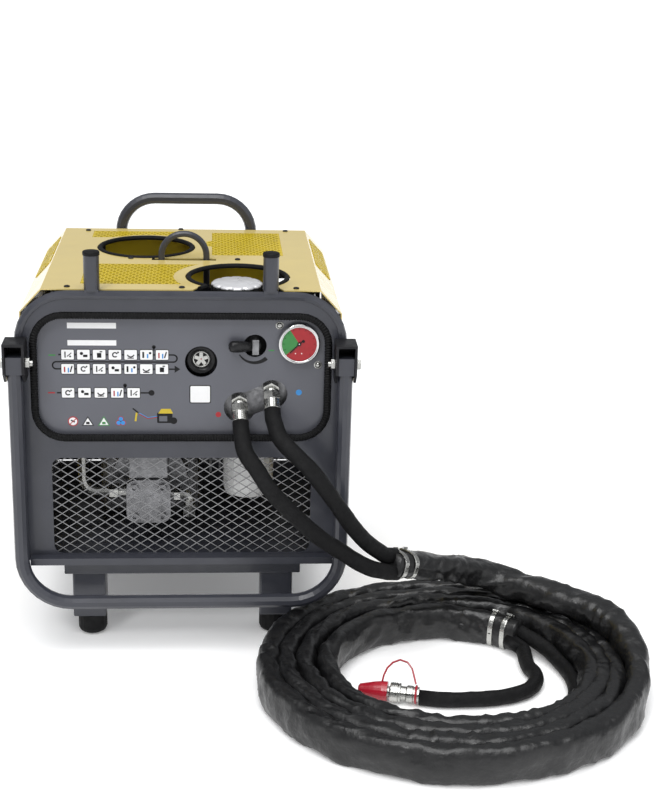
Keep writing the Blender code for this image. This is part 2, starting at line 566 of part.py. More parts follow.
def engine():
    """Engine, crankshaft, starter, bell housing, muffler and fuel tank."""
    x, z = CRANK_X, CRANK_Z
    case = box("engine_block", (x - 0.090, x + 0.085), (0.1955, 0.375), (DECK_Z + GAP, z + 0.080), CAST,
               0.012)
    case = union(case, box("cylinder", (x + 0.07, x + 0.185), (0.240, 0.335), (z - 0.02, z + 0.07), CAST,
                           0.006))
    for step in range(5):
        fx = x + 0.102 + step * 0.017
        case = union(case, box("fin", (fx, fx + 0.004), (0.228, 0.347), (z - 0.032, z + 0.082), CAST))
    smooth(cut(case, rod("crank_bore", at(x, 0.15, z), (0, 1, 0), 0.0133, 0.3)))
    shaft = [(0, 0.440), (0.0120, 0.440), (0.0120, 0.424), (0.070, 0.424), (0.070, 0.406), (0.0125, 0.406),
             (0.0125, 0.1925), (0.0085, 0.190), (0.0085, 0.172), (0.026, 0.172), (0.026, 0.130),
             (0.0085, 0.130),
             (0.0085, 0.0565), (0, 0.0565)]
    turned("crankshaft", shaft, at(x, 0, z), (0, 1, 0), STEEL)
    bell = [(0.0580, 0.1952), (0.0640, 0.1952), (0.0640, 0.1183), (0.0300, 0.1183), (0.0300, 0.1223),
            (0.0580, 0.1223)]
    turned("bell_housing", bell, at(x, 0, z), (0, 1, 0), CAST)
    cover = [(0, 0.478), (0.060, 0.478), (0.078, 0.472), (0.084, 0.455), (0.084, 0.3755), (0.080, 0.3755),
             (0.080, 0.452), (0.074, 0.466), (0.058, 0.4735), (0, 0.4735)]
    starter = turned("recoil_starter", cover, at(x, 0, z), (0, 1, 0), BLACK_METAL, 24)
    grip = rod("grip", at(x + 0.018, 0.486, z + 0.040), (1, 0, 0), 0.009, 0.050, BLACK_PLASTIC, 16, 0.002)
    neck = rod("neck", at(x + 0.043, 0.470, z + 0.040), (0, 1, 0), 0.006, 0.016, BLACK_PLASTIC, 12)
    smooth(union(starter, grip, neck))
    can = box("muffler", (-0.165, -0.010), (0.248, 0.395), (0.425, 0.505), STEEL, 0.018, 3)
    outlet = rod("outlet", at(-0.090, 0.330, 0.49), (0, 0, 1), 0.016, 0.045, STEEL, 20)
    foot = box("foot", (-0.100, -0.060), (0.28, 0.34), (z + 0.0803, 0.430), STEEL)
    can = union(can, outlet, foot)
    smooth(cut(can, rod("outlet_hole", at(-0.090, 0.330, 0.495), (0, 0, 1), 0.013, 0.06, sides=20)))
    cx, cd = OPENING_FRONT[0], OPENING_FRONT[1] + 0.010
    tank = box("fuel_tank", (0.064, 0.215), (0.084, 0.205), (0.478, 0.550), BLACK_METAL, 0.016, 3)
    smooth(union(tank, rod("neck", at(cx - 0.001, cd + 0.012, 0.535), (0, 0, 1), 0.037, 0.0425,
                           BLACK_PLASTIC, 28)))
    scallops = []
    for i in range(96):
        a = 2 * pi * i / 96
        scallops.append((0.0415 + 0.0016 * cos(12 * a), a))
    bm = bmesh.new()
    rows = []
    for height, grow in ((0.0, 0.0), (0.015, 0.0), (0.020, -0.004)):
        rows.append([bm.verts.new(at(cx - 0.001 + (r + grow) * cos(a), cd + 0.012 + (r + grow) * sin(a),
                                     0.5780 + height)) for r, a in scallops])
    for low, high in zip(rows, rows[1:]):
        for i in range(96):
            bm.faces.new((low[i], low[(i + 1) % 96], high[(i + 1) % 96], high[i]))
    bm.faces.new(rows[0][::-1])
    bm.faces.new(rows[-1])
    smooth(from_bmesh("fuel_cap", bm, CHROME))


def hydraulics():
    """Oil tank, filter, manifold and the two port fittings."""
    tank = box("oil_tank", (-0.235, 0.046), (0.046, 0.150), (0.360, 0.572), BLACK_METAL, 0.008)
    smooth(tank)
    can = [(0, 0.0975), (0.040, 0.0975), (0.0430, 0.094), (0.0430, 0.012), (0.0400, 0.004), (0.033, 0),
           (0, 0)]
    turned("oil_filter", can, at(0.1105, 0.100, 0.2326), (0, 0, 1), WHITE, 20)
    head = box("filter_head", (0.075, 0.146), (0.066, 0.134), (0.3305, 0.362), CAST, 0.004)
    smooth(union(head, rod("neck", at(0.1105, 0.060 + 0.014, 0.355), (0, 0, 1), 0.009, 0.0296, CAST, 20)))
    box("manifold_block", (0.062, 0.182), (0.032, 0.083), (0.385, 0.466), CAST, 0.003)
    for name, (x, z) in (("port_fitting_pressure", (0.0930, 0.4205)),
                         ("port_fitting_return", (0.1445, 0.4420))):
        base_at = at(x, 0.0317, z)
        down = Vector((0.05, -0.66, -0.75)).normalized()
        fitting = rod(name, base_at, (0, -1, 0), 0.0145, 0.0190, STEEL, 6, 0.0008)
        elbow = at(x, 0.0160, z)
        fitting = union(fitting, rod("nut", elbow + down * 0.004, down, 0.0150, 0.013, STEEL, 6, 0.0008),
                        rod("ferrule", elbow, down, 0.0128, 0.0330, STEEL, 20, 0.001))
        smooth(fitting)


def controls():
    """Gauge with its needle, oil sight glass and the throttle lever."""
    x, z = GAUGE
    face = [(0, 0.030), (0.0285, 0.030), (0.0285, 0.0325), (0.0320, 0.0325), (0.0330, 0.031),
            (0.0330, 0.0275),
            (0.0310, 0.0275), (0.0292, 0.0270), (0.0292, 0.003), (0.026, 0), (0, 0)]
    depth = 0.0365
    turned("pressure_gauge", face, at(x, depth, z), (0, -1, 0), CHROME, 24)
    needle = box("gauge_needle", (x - 0.0008, x + 0.0008), (depth - 0.0318, depth - 0.0308),
                 (z - 0.006, z + 0.021), BLACK_PLASTIC)
    needle = union(needle, rod("hub", at(x, depth - 0.0303, z), (0, -1, 0), 0.003, 0.0020, BLACK_PLASTIC, 16))
    needle.data.transform(Matrix.Translation(at(x, 0, z)) @ Matrix.Rotation(radians(-135), 4, "Y")
                          @ Matrix.Translation(-at(x, 0, z)))
    x, z = SIGHT
    glass = [(0, 0.0190), (0.0150, 0.0190), (0.0160, 0.0215), (0.0215, 0.0215), (0.0240, 0.018),
             (0.0240, 0.0), (0, 0)]
    turned("oil_sight_glass", glass, at(x, 0.0457, z), (0, -1, 0), STEEL, 28)
    x, z = LEVER
    pivot = rod("throttle_lever", at(x, 0.060, z), (0, -1, 0), 0.010, 0.052, BLACK_METAL, 20, 0.001)
    arm = box("arm", (x - 0.026, x + 0.006), (0.008, 0.013), (z - 0.006, z + 0.006), STEEL)
    reach = Vector((-1.0, -0.30, 0.08)).normalized()
    knob = rod("knob", at(x - 0.008, 0.0090, z), reach, 0.0075, 0.034, BLACK_PLASTIC, 20, 0.0025)
    smooth(union(pivot, arm, knob))


def hoses():
    """The twin hose from the ports, its sleeve, coil, two tails and couplers."""
    down = Vector((0.05, -0.66, -0.75)).normalized()
    start_p = at(0.0930, 0.0160, 0.4205) + down * 0.0333
    start_t = at(0.1445, 0.0160, 0.4420) + down * 0.0333
    lead = [at(*p) for p in ((0.3450, -0.0600, 0.1660), (0.387, -0.034, 0.153), (0.430, -0.004, 0.135),
                             (0.475, 0.024, 0.116), (0.515, 0.034, 0.102), (0.553, 0.028, 0.0925),
                             (0.595, 0.002, 0.0880), (0.634, -0.037, 0.0875))]
    lead = flowing(lead, 0.05)
    into = (lead[1] - lead[0]).normalized()
    apart = Vector((0.0, 0.6, 0.8))
    apart = (apart - into * apart.dot(into)).normalized() * (HOSE_R + GAP)
    end_p, end_t = lead[0] - into * 0.0008 - apart, lead[0] - into * 0.0008 + apart
    pressure = [start_p, start_p + down * 0.014] + [at(*p) for p in (
        (0.101, -0.042, 0.358), (0.117, -0.062, 0.339), (0.144, -0.083, 0.304), (0.181, -0.092, 0.266),
        (0.220, -0.093, 0.230), (0.261, -0.090, 0.200), (0.300, -0.086, 0.1735))] + [end_p - into * 0.018,
                end_p]
    backward = [start_t, start_t + down * 0.014] + [at(*p) for p in (
        (0.156, -0.044, 0.384), (0.177, -0.066, 0.365), (0.207, -0.083, 0.339), (0.242, -0.091, 0.294),
        (0.272, -0.087, 0.249), (0.300, -0.075, 0.212))] + [end_t - into * 0.018, end_t]
    tube("hose_pressure", hose_path(pressure, 0.045), HOSE_R - 0.001, SLEEVE_CLOTH)
    tube("hose_return", hose_path(backward, 0.045), HOSE_R - 0.001, SLEEVE_CLOTH)
    tube("sleeve_lead", lead, 0.0225, SLEEVE_CLOTH)
    ring = [(COIL_INNER, COIL_TOP), (COIL_OUTER, COIL_TOP), (COIL_OUTER, 0.0), (COIL_INNER, 0.0)]
    middle = at(*COIL_CENTRE, 0.0)
    coil = turned("sleeve_coil", ring, middle, (0, 0, 1), SLEEVE_CLOTH, 40)
    coil.data.transform(Matrix.Translation(middle) @ Matrix.Diagonal((1, COIL_DEPTH_SHARE, 1, 1))
                        @ Matrix.Translation(-middle))

    def around(radius, angle, z):
        a = radians(angle)
        return at(COIL_CENTRE[0] + radius * cos(a), COIL_CENTRE[1] + COIL_DEPTH_SHARE * radius * sin(a), z)

    end_r, end_at = 0.0215, 46
    mid_r = COIL_INNER - 0.002 - end_r
    tube("sleeve_end", [around(mid_r, a, end_r) for a in np.linspace(160, end_at, 14)], end_r, SLEEVE_CLOTH)
    tail_r = 0.0125
    outer = [around(mid_r + 0.0085 - 0.010 * max(0.0, -(a + 60) / 24), a, tail_r)
             for a in np.linspace(end_at - 0.6, -84, 15)]
    tube("tail_return", outer, tail_r - 0.0005, SLEEVE_CLOTH)
    tail = [around(mid_r - 0.0170, a, tail_r) for a in (end_at - 1.5, 38)]
    tail += [at(*p, tail_r) for p in ((0.570, -0.130), (0.576, -0.157), (0.571, -0.186), (0.550, -0.213),
                                              (0.517, -0.229), (0.480, -0.236), (0.440, -0.238),
                                              (0.405, -0.236),
                                              (0.376, -0.229))]
    points = [tail[0]] + flowing(tail[1:], 0.028)
    tube("tail_pressure", points, tail_r - 0.0005, SLEEVE_CLOTH)
    coupler(points[-1], points[-1] - points[-2])
    last = outer[-1]
    along = Vector((-1.0, 0.1, 0.0)).normalized()
    body = [(0, 0.078), (0.011, 0.078), (0.0125, 0.076), (0.0125, 0.060), (0.0150, 0.058), (0.0150, 0.030),
            (0.0115, 0.028), (0.0115, 0.0), (0, 0)]
    turned("return_coupler", body, Vector((last.x, last.y, 0.0153)) + along * 0.0035, along, STEEL, 24)


def coupler(end, direction):
    """Quick coupler, its sliding sleeve, the dust cap and the cap's strap."""
    axis = Vector((direction.x, direction.y, 0.0)).normalized()
    start = Vector((end.x, end.y, 0.0168)) + axis * GAP
    body = [(0, 0.066), (0.0085, 0.066), (0.0085, 0.048), (0.0112, 0.046), (0.0112, 0.021), (0.0135, 0.019),
            (0.0135, 0.010), (0.0122, 0.009), (0.0122, 0.0), (0, 0)]
    turned("coupler_body", body, start, axis, STEEL, 24)
    ring = [(0.0116, 0.046), (0.0150, 0.046), (0.0155, 0.044), (0.0155, 0.034), (0.0145, 0.033),
            (0.0145, 0.0325),
            (0.0155, 0.032), (0.0155, 0.0300), (0.0150, 0.0290), (0.0116, 0.0290)]
    turned("coupler_sleeve", ring, start, axis, STEEL, 24)
    cap = [(0, 0.098), (0.005, 0.0975), (0.0085, 0.095), (0.0140, 0.072), (0.0160, 0.060), (0.0160, 0.0505),
           (0.0090, 0.0505), (0.0090, 0.0665), (0, 0.0665)]
    cap = turned("dust_cap", cap, start, axis, RED, 24)
    side = Vector((-axis.y, axis.x, 0.0))
    loop = [start + axis * 0.060 + Vector((0, 0, 0.014)),
            start + axis * 0.055 - side * 0.010 + Vector((0, 0, 0.034)),
            start + axis * 0.038 - side * 0.022 + Vector((0, 0, 0.046)),
            start + axis * 0.018 - side * 0.020 + Vector((0, 0, 0.040)),
            start + axis * 0.006 + Vector((0, 0, 0.0185))]
    smooth(union(cap, tube("strap", flowing(loop, 0.012), 0.0016, RED)))


casing()
handles()
base()
pump()
engine()
hydraulics()
controls()
hoses()
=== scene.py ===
"""Looks of the hydraulic power unit: camera, light, materials, sheet metal, trims and hoses."""
from math import cos, pi, radians, sin

import bmesh
import bpy
from mathutils import Matrix, Vector, noise


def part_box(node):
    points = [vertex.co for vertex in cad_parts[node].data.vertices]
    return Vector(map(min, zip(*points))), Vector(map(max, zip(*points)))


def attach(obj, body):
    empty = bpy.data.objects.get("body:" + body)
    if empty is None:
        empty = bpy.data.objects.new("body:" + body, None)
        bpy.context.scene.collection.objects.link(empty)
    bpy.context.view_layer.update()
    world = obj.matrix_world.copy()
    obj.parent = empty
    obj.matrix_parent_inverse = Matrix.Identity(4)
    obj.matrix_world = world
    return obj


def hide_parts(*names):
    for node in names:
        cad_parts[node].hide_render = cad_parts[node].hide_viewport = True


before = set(bpy.data.objects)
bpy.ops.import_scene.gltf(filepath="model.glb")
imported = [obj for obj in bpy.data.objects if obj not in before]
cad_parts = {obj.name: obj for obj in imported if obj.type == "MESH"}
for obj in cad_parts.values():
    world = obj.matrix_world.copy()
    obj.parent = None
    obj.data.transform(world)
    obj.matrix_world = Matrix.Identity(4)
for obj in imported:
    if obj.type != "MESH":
        bpy.data.objects.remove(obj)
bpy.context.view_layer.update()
nodes = {name: bpy.data.objects[name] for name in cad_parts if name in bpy.data.objects}
scene = bpy.context.scene

# Places that the frame gives
PANEL_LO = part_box("control_panel")[0]
HOOD_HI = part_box("hood")[1]
COIL_LO, COIL_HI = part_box("sleeve_coil")
PANEL_DEPTH = 0.0145
FRONT_Y = PANEL_LO[1] - PANEL_DEPTH    # the foremost plane of the front rim, called depth 0
COIL = (Vector(COIL_LO) + Vector(COIL_HI)) / 2
ROOT = "machine"
FRONT = Vector((0, -1, 0))
# The quick coupler's start and direction, as in the CAD
COUPLER_BASE = Vector((0.375709, -0.468427, 0.0168))
COUPLER_AXIS = Vector((-0.970248, 0.242111, 0.0))


def at(x, depth, z):
    """A point given by its depth behind the machine's front face."""
    return Vector((x, FRONT_Y + depth, z))


# Camera, light and floor
def studio():
    cam = bpy.data.objects.new("camera", bpy.data.cameras.new("camera"))
    scene.collection.objects.link(cam)
    scene.camera = cam
    focal_px, image_height = 1508.0, 800.0
    cam.data.sensor_width = 36.0
    cam.data.lens = 36.0 * focal_px / image_height
    cam.location = (0.0467, -2.5627, 1.2117)
    yaw, pitch, roll = 0.08236, 0.32295, -0.02801
    ahead = Vector((sin(yaw) * cos(pitch), cos(yaw) * cos(pitch), -sin(pitch)))
    level = Vector((cos(yaw), -sin(yaw), 0.0))
    down = ahead.cross(level)
    right = level * cos(roll) + down * sin(roll)
    down = down * cos(roll) - level * sin(roll)
    cam.rotation_mode = "QUATERNION"
    cam.rotation_quaternion = Matrix((right, -down, -ahead)).transposed().to_quaternion()
    cam.data.clip_start = 0.05

    world = bpy.data.worlds.new("studio")
    scene.world = world
    world.use_nodes = True
    back = world.node_tree.nodes["Background"]
    back.inputs[0].default_value = (0.95, 0.97, 1.0, 1)
    back.inputs[1].default_value = 0.38
    scene.view_settings.view_transform = "Standard"
    for name, direction, strength, spread in (("top", (0.06, 0.22, -1.0), 2.4, 50),
                                              ("key", (0.50, 0.9, -1.0), 0.75, 14),
                                              ("fill", (-0.8, 0.8, -0.35), 0.35, 40)):
        lamp = bpy.data.lights.new(name, "SUN")
        lamp.energy, lamp.angle = strength, radians(spread)
        obj = bpy.data.objects.new(name, lamp)
        scene.collection.objects.link(obj)
        obj.rotation_mode = "QUATERNION"
        obj.rotation_quaternion = Vector(direction).to_track_quat("-Z", "Y")
    bm = bmesh.new()
    bmesh.ops.create_grid(bm, x_segments=1, y_segments=1, size=30)
    mesh = bpy.data.meshes.new("floor")
    bm.to_mesh(mesh)
    bm.free()
    floor = bpy.data.objects.new("floor", mesh)
    floor.location.z = -0.0005
    scene.collection.objects.link(floor)
    mat = bpy.data.materials.new("floor")
    mat.use_nodes = True
    shader = mat.node_tree.nodes["Principled BSDF"]
    shader.inputs["Base Color"].default_value = (0.92, 0.92, 0.92, 1)
    shader.inputs["Roughness"].default_value = 0.8
    shader.inputs["Emission Color"].default_value = (1, 1, 1, 1)
    shader.inputs["Emission Strength"].default_value = 0.16
    mesh.materials.append(mat)


# Materials
class Finish:
    """A procedural material made up from a few layers of noise."""

    def __init__(self, name, colour, roughness, metallic=0.0, coat=0.0):
        self.mat = bpy.data.materials.new(name)
        self.mat.use_nodes = True
        self.tree = self.mat.node_tree
        self.shader = self.tree.nodes["Principled BSDF"]
        self.colour, self.roughness = colour, roughness
        self.shader.inputs["Base Color"].default_value = (*colour, 1)
        self.shader.inputs["Roughness"].default_value = roughness
        self.shader.inputs["Metallic"].default_value = metallic
        self.shader.inputs["Coat Weight"].default_value = coat
        self.shader.inputs["Coat Roughness"].default_value = 0.08
        self.coord = self.node("TexCoord")
        self.height = None

    def node(self, kind, **inputs):
        made = self.tree.nodes.new("ShaderNode" + kind)
        for key, value in inputs.items():
            made.inputs[key.replace("_", " ")].default_value = value
        return made

    def link(self, a, b):
        self.tree.links.new(a, b)

    def noise(self, scale, detail=3.0, stretch=None):
        made = self.node("TexNoise", Scale=scale, Detail=detail)
        source = self.coord.outputs["Object"]
        if stretch:
            mapping = self.node("Mapping")
            mapping.inputs["Scale"].default_value = stretch
            self.link(source, mapping.inputs["Vector"])
            source = mapping.outputs[0]
        self.link(source, made.inputs["Vector"])
        return made.outputs["Fac"]

    def ramp(self, source, low, high, colours):
        made = self.node("ValToRGB")
        made.color_ramp.elements[0].position, made.color_ramp.elements[1].position = low, high
        for element, colour in zip(made.color_ramp.elements, colours):
            element.color = (*colour, 1)
        self.link(source, made.inputs[0])
        return made.outputs[0]

    def vary(self, scale, amount, stretch=None):
        """Soft patches, lighter and darker than the colour."""
        low = [c * (1 - amount) for c in self.colour]
        high = [min(1.0, c * (1 + amount)) for c in self.colour]
        self.link(self.ramp(self.noise(scale, 4.0, stretch), 0.3, 0.7, (low, high)),
                  self.shader.inputs["Base Color"])
        return self

    def rough(self, scale, low, high, stretch=None):
        self.link(self.ramp(self.noise(scale, 5.0, stretch), 0.3, 0.7, ((low,) * 3, (high,) * 3)),
                  self.shader.inputs["Roughness"])
        return self

    def bump(self, source, distance, strength=1.0):
        made = self.node("Bump", Strength=strength, Distance=distance)
        self.link(source, made.inputs["Height"])
        if self.height:
            self.link(self.height, made.inputs["Normal"])
        self.height = made.outputs[0]
        self.link(self.height, self.shader.inputs["Normal"])
        return self

    def weave(self, pitch, distance):
        """Two crossed sets of threads."""
        waves = []
        for direction in ("DIAGONAL", "Z"):
            made = self.node("TexWave", Scale=1 / pitch / 6.28 * 3.14, Distortion=0.6)
            made.bands_direction = direction
            self.link(self.coord.outputs["Object"], made.inputs["Vector"])
            waves.append(made.outputs["Fac"])
        both = self.node("Math")
        both.operation = "MULTIPLY"
        self.link(waves[0], both.inputs[0])
        self.link(waves[1], both.inputs[1])
        return self.bump(both.outputs[0], distance)


def finishes():
    made = {}
    # The hood's yellow is paler and greyer than its paint, so part of the white sheen of its gloss coat is a
    # painted reflection in the colour.
    made["yellow"] = Finish("yellow", (0.70, 0.55, 0.19), 0.22, coat=0.5).vary(4, 0.03).rough(25, 0.18, 0.26)
    made["yellow"].bump(made["yellow"].noise(220, 2.0), 0.00002)
    made["deep_yellow"] = Finish("deep_yellow", (0.58, 0.43, 0.015), 0.4).vary(14, 0.08).rough(60, 0.3, 0.5)
    made["grey"] = Finish("grey", (0.034, 0.036, 0.047), 0.36, coat=0.2).vary(12, 0.10).rough(45, 0.30, 0.46)
    made["grey"].bump(made["grey"].noise(900, 2.0), 0.00007)
    made["panel"] = Finish("panel", (0.100, 0.103, 0.122), 0.40, coat=0.15).vary(8, 0.07).rough(80, 0.32,
            0.46)
    made["black_metal"] = Finish("black_metal", (0.018, 0.018, 0.02), 0.36, 0.3).vary(20, 0.25).rough(50,
            0.25, 0.5)
    made["black_metal"].bump(made["black_metal"].noise(500, 3.0), 0.0001)
    made["rubber"] = Finish("rubber", (0.0045, 0.0045, 0.005), 0.65).vary(40, 0.3).rough(90, 0.5, 0.75)
    made["rubber"].bump(made["rubber"].noise(1200, 2.0), 0.0001)
    made["plastic"] = Finish("plastic", (0.014, 0.014, 0.015), 0.25).vary(60, 0.2).rough(120, 0.18, 0.36)
    made["steel"] = Finish("steel", (0.46, 0.46, 0.44), 0.26, 1.0).vary(70, 0.12).rough(140, 0.14, 0.38)
    made["steel"].bump(made["steel"].noise(600, 3.0, (1, 1, 8)), 0.00008)
    made["strand"] = Finish("strand", (0.20, 0.20, 0.205), 0.45, 0.5).vary(60, 0.2).rough(120, 0.3, 0.5)
    made["chrome"] = Finish("chrome", (0.62, 0.62, 0.62), 0.08, 1.0).vary(30, 0.03).rough(60, 0.04, 0.14)
    made["satin"] = Finish("satin", (0.80, 0.80, 0.82), 0.34, 0.45).vary(40, 0.04).rough(90, 0.26, 0.42)
    made["cast"] = Finish("cast", (0.27, 0.27, 0.28), 0.50, 0.85).vary(50, 0.28).rough(160, 0.36, 0.62)
    made["cast"].bump(made["cast"].noise(420, 5.0), 0.0004)
    made["white"] = Finish("white", (0.80, 0.80, 0.79), 0.28).vary(18, 0.03).rough(60, 0.2, 0.35)
    made["red"] = Finish("red", (0.36, 0.006, 0.02), 0.3, coat=0.2).vary(50, 0.12).rough(90, 0.22, 0.4)
    made["cloth"] = Finish("cloth", (0.0045, 0.0045, 0.005), 0.78).vary(60, 0.3).rough(120, 0.5, 0.75)
    made["cloth"].weave(0.0016, 0.0004).bump(made["cloth"].noise(60, 4.0), 0.0012)
    made["sleeve"] = Finish("sleeve", (0.0040, 0.0040, 0.0044), 0.36, coat=0.10).vary(30, 0.25).rough(55,
            0.30, 0.52)
    made["sleeve"].bump(made["sleeve"].noise(900, 3.0), 0.00016).bump(made["sleeve"].noise(75, 5.0), 0.0022)
    made["ink_white"] = Finish("ink_white", (0.84, 0.84, 0.84), 0.4).vary(90, 0.02)
    made["ink_black"] = Finish("ink_black", (0.008, 0.008, 0.009), 0.4).vary(90, 0.2)
    made["ink_red"] = Finish("ink_red", (0.36, 0.006, 0.012), 0.35).vary(90, 0.08)
    made["ink_green"] = Finish("ink_green", (0.03, 0.22, 0.045), 0.35).vary(90, 0.08)
    made["ink_blue"] = Finish("ink_blue", (0.03, 0.25, 0.62), 0.35).vary(90, 0.08)
    for name in ("rubber", "cloth", "plastic", "black_metal", "ink_black"):
        made[name].shader.inputs["Specular IOR Level"].default_value = 0.22
    for finish in made.values():
        finish.shader.inputs["Roughness"].default_value = finish.roughness
    return {name: finish.mat for name, finish in made.items()}


MAT = finishes()


def paint_nodes():
    """The carried-over CAD nodes take the finishes of this file."""
    groups = {
        "grey": "front_frame rear_guard rear_handle lifting_frame pull_handle base_frame front_stand "
                "wheel_hub_left wheel_hub_right",
        "panel": "control_panel",
        "black_metal": "handle_bracket_left handle_bracket_right recoil_starter fuel_tank oil_tank",
        "rubber": "foot_left foot_right wheel_tyre_left wheel_tyre_right "
                  "opening_trim_front opening_trim_rear panel_edge_trim",
        "plastic": "gauge_needle throttle_lever",
        "steel": "pivot_bolt_left pivot_bolt_right axle drive_gear driven_gear crankshaft suction_pipe "
                 "pump_elbow muffler port_fitting_pressure port_fitting_return coupler_body coupler_sleeve "
                 "return_coupler oil_sight_glass",
        "chrome": "fuel_cap pressure_gauge",
        "cast": "pump_body pump_adaptor engine_block bell_housing filter_head manifold_block",
        "white": "oil_filter",
        "red": "dust_cap",
    }
    for mat, names in groups.items():
        for name in names.split():
            obj = nodes[name]
            for slot in range(max(1, len(obj.material_slots))):
                if len(obj.material_slots) > slot:
                    obj.material_slots[slot].material = MAT[mat]


# Mesh helpers
def keep(bm, name, mat, body=ROOT, shaded=True):
    """A mesh object with its material, riding on a body."""
    mesh = bpy.data.meshes.new(name)
    bmesh.ops.recalc_face_normals(bm, faces=bm.faces)
    bm.to_mesh(mesh)
    bm.free()
    obj = bpy.data.objects.new(name, mesh)
    scene.collection.objects.link(obj)
    mesh.materials.append(MAT[mat])
    for face in mesh.polygons:
        face.use_smooth = shaded
    if body:
        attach(obj, body)
    return obj


def flowing(points, spacing):
    """Evenly spaced points on a smooth curve through a route's points."""
    p = [Vector(q) for q in points]
    p = [2 * p[0] - p[1]] + p + [2 * p[-1] - p[-2]]
    fine = []
    for i in range(1, len(p) - 2):
        a, b, c, d = p[i - 1:i + 3]
        for step in range(25):
            t = step / 25
            fine.append(0.5 * (2 * b + (c - a) * t + (2 * a - 5 * b + 4 * c - d) * t ** 2
                               + (3 * b - a - 3 * c + d) * t ** 3))
    fine.append(p[-2])
    run = [0.0]
    for a, b in zip(fine, fine[1:]):
        run.append(run[-1] + (b - a).length)
    count = max(2, round(run[-1] / spacing))
    places, k = [], 0
    for i in range(count + 1):
        s = run[-1] * i / count
        while k < len(run) - 2 and run[k + 1] < s:
            k += 1
        t = (s - run[k]) / max(1e-9, run[k + 1] - run[k])
        places.append(fine[k].lerp(fine[k + 1], min(1.0, t)))
    return places


def measure(points):
    return sum((b - a).length for a, b in zip(points, points[1:]))


def frames(points, up=Vector((0, 0, 1))):
    """Tangent, side and upward directions along a route, without twist."""
    out = []
    for i, p in enumerate(points):
        t = (points[min(i + 1, len(points) - 1)] - points[max(i - 1, 0)]).normalized()
        side = t.cross(up)
        if side.length < 0.05:
            side = out[-1][1] if out else t.cross(Vector((0, 1, 0)))
        side.normalize()
        out.append((t, side, side.cross(t).normalized()))
    return out


def skin(bm, points, sides, shape, up=Vector((0, 0, 1)), caps=True):
    """Adds a tube; shape(i, angle) gives sideways and upward offsets at point i."""
    rings = []
    for i, (p, (t, side, high)) in enumerate(zip(points, frames(points, up))):
        ring = []
        for k in range(sides):
            a, b = shape(i, 2 * pi * k / sides)
            ring.append(bm.verts.new(p + side * a + high * b))
        rings.append(ring)
    for one, two in zip(rings, rings[1:]):
        for k in range(sides):
            j = (k + 1) % sides
            bm.faces.new((one[k], one[j], two[j], two[k]))
    if caps:
        bm.faces.new(rings[0])
        bm.faces.new(rings[-1])
    return rings


# The twin hose, its sleeve and tails. The routes repeat the CAD's, in x, depth and z.
HOSE_R = 0.0135
DOWN = Vector((0.05, -0.66, -0.75)).normalized()
LEAD = [at(*p) for p in ((0.3450, -0.0600, 0.1660), (0.387, -0.034, 0.153), (0.430, -0.004, 0.135),
                         (0.475, 0.024, 0.116), (0.515, 0.034, 0.102), (0.553, 0.028, 0.0925),
                         (0.595, 0.002, 0.0880))]
# Clockwise degrees from the place where the sleeve first meets the coil, radius, height
SPIRAL = ((0, 0.256, 0.0875), (12, 0.275, 0.085), (25, 0.288, 0.077), (42, 0.2945, 0.058),
          (60, 0.2955, 0.040),
          (85, 0.2955, 0.0320), (160, 0.2955, 0.031), (250, 0.2960, 0.031), (320, 0.2940, 0.031),
          (350, 0.283, 0.031),
          (385, 0.262, 0.031), (430, 0.262, 0.031), (500, 0.2665, 0.031), (600, 0.2665, 0.031),
          (680, 0.2620, 0.031),
          (745, 0.241, 0.031), (800, 0.240, 0.031), (870, 0.2375, 0.031), (960, 0.2360, 0.031),
          (1040, 0.231, 0.031),
          (1105, 0.2235, 0.031), (1160, 0.2195, 0.031), (1230, 0.2095, 0.031), (1300, 0.2025, 0.031),
          (1340, 0.1950, 0.031), (1390, 0.1915, 0.030), (1433.2, 0.1915, 0.0275))
DEPTH_SHARE = (COIL_HI[1] - COIL_LO[1]) / (COIL_HI[0] - COIL_LO[0])
SPIRAL_START = 39.2


def around(radius, degrees, z):
    a = radians(degrees)
    return Vector((COIL.x + radius * cos(a), COIL.y + DEPTH_SHARE * radius * sin(a), z))


def between(table, s):
    """The value of a table of (place, value, ...) at s, eased from row to row."""
    for one, two in zip(table, table[1:]):
        if s <= two[0]:
            t = max(0.0, (s - one[0]) / (two[0] - one[0]))
            t = t * t * (3 - 2 * t)
            return [a + (b - a) * t for a, b in zip(one[1:], two[1:])]
    return list(table[-1][1:])


def sleeve_route():
    turns = []
    for row in SPIRAL:
        turns.append(around(row[1], SPIRAL_START - row[0], row[2]))
    dense = [turns[0]]
    for one, two in zip(SPIRAL, SPIRAL[1:]):
        parts = max(1, round((two[0] - one[0]) / 15))
        for k in range(1, parts + 1):
            angle = one[0] + (two[0] - one[0]) * k / parts
            radius, z = between(SPIRAL, angle)
            dense.append(around(radius, SPIRAL_START - angle, z))
    return LEAD + dense


def soft(s, angle, fold, crease, seed):
    """Height of the folds of a loose cloth cover at length s and an angle round it."""
    around_it = Vector((cos(angle) * 0.55, sin(angle) * 0.55, 0))
    big = noise.noise(Vector((s * 17, seed, 0)) + around_it * 1.5)
    slant = s * 26 + 0.8 * sin(angle + s * 11)
    ridge = 1 - 3.2 * abs(noise.noise(Vector((slant, seed + 9, 0)) + around_it * 1.2))
    fine = 1 - 3.0 * abs(noise.noise(Vector((s * 55 - 1.1 * sin(angle * 2), seed + 21, 0)) + around_it * 2.4))
    return fold * big + crease * (max(-0.4, ridge) * 0.62 - 0.10 + 0.22 * max(-0.3, fine))


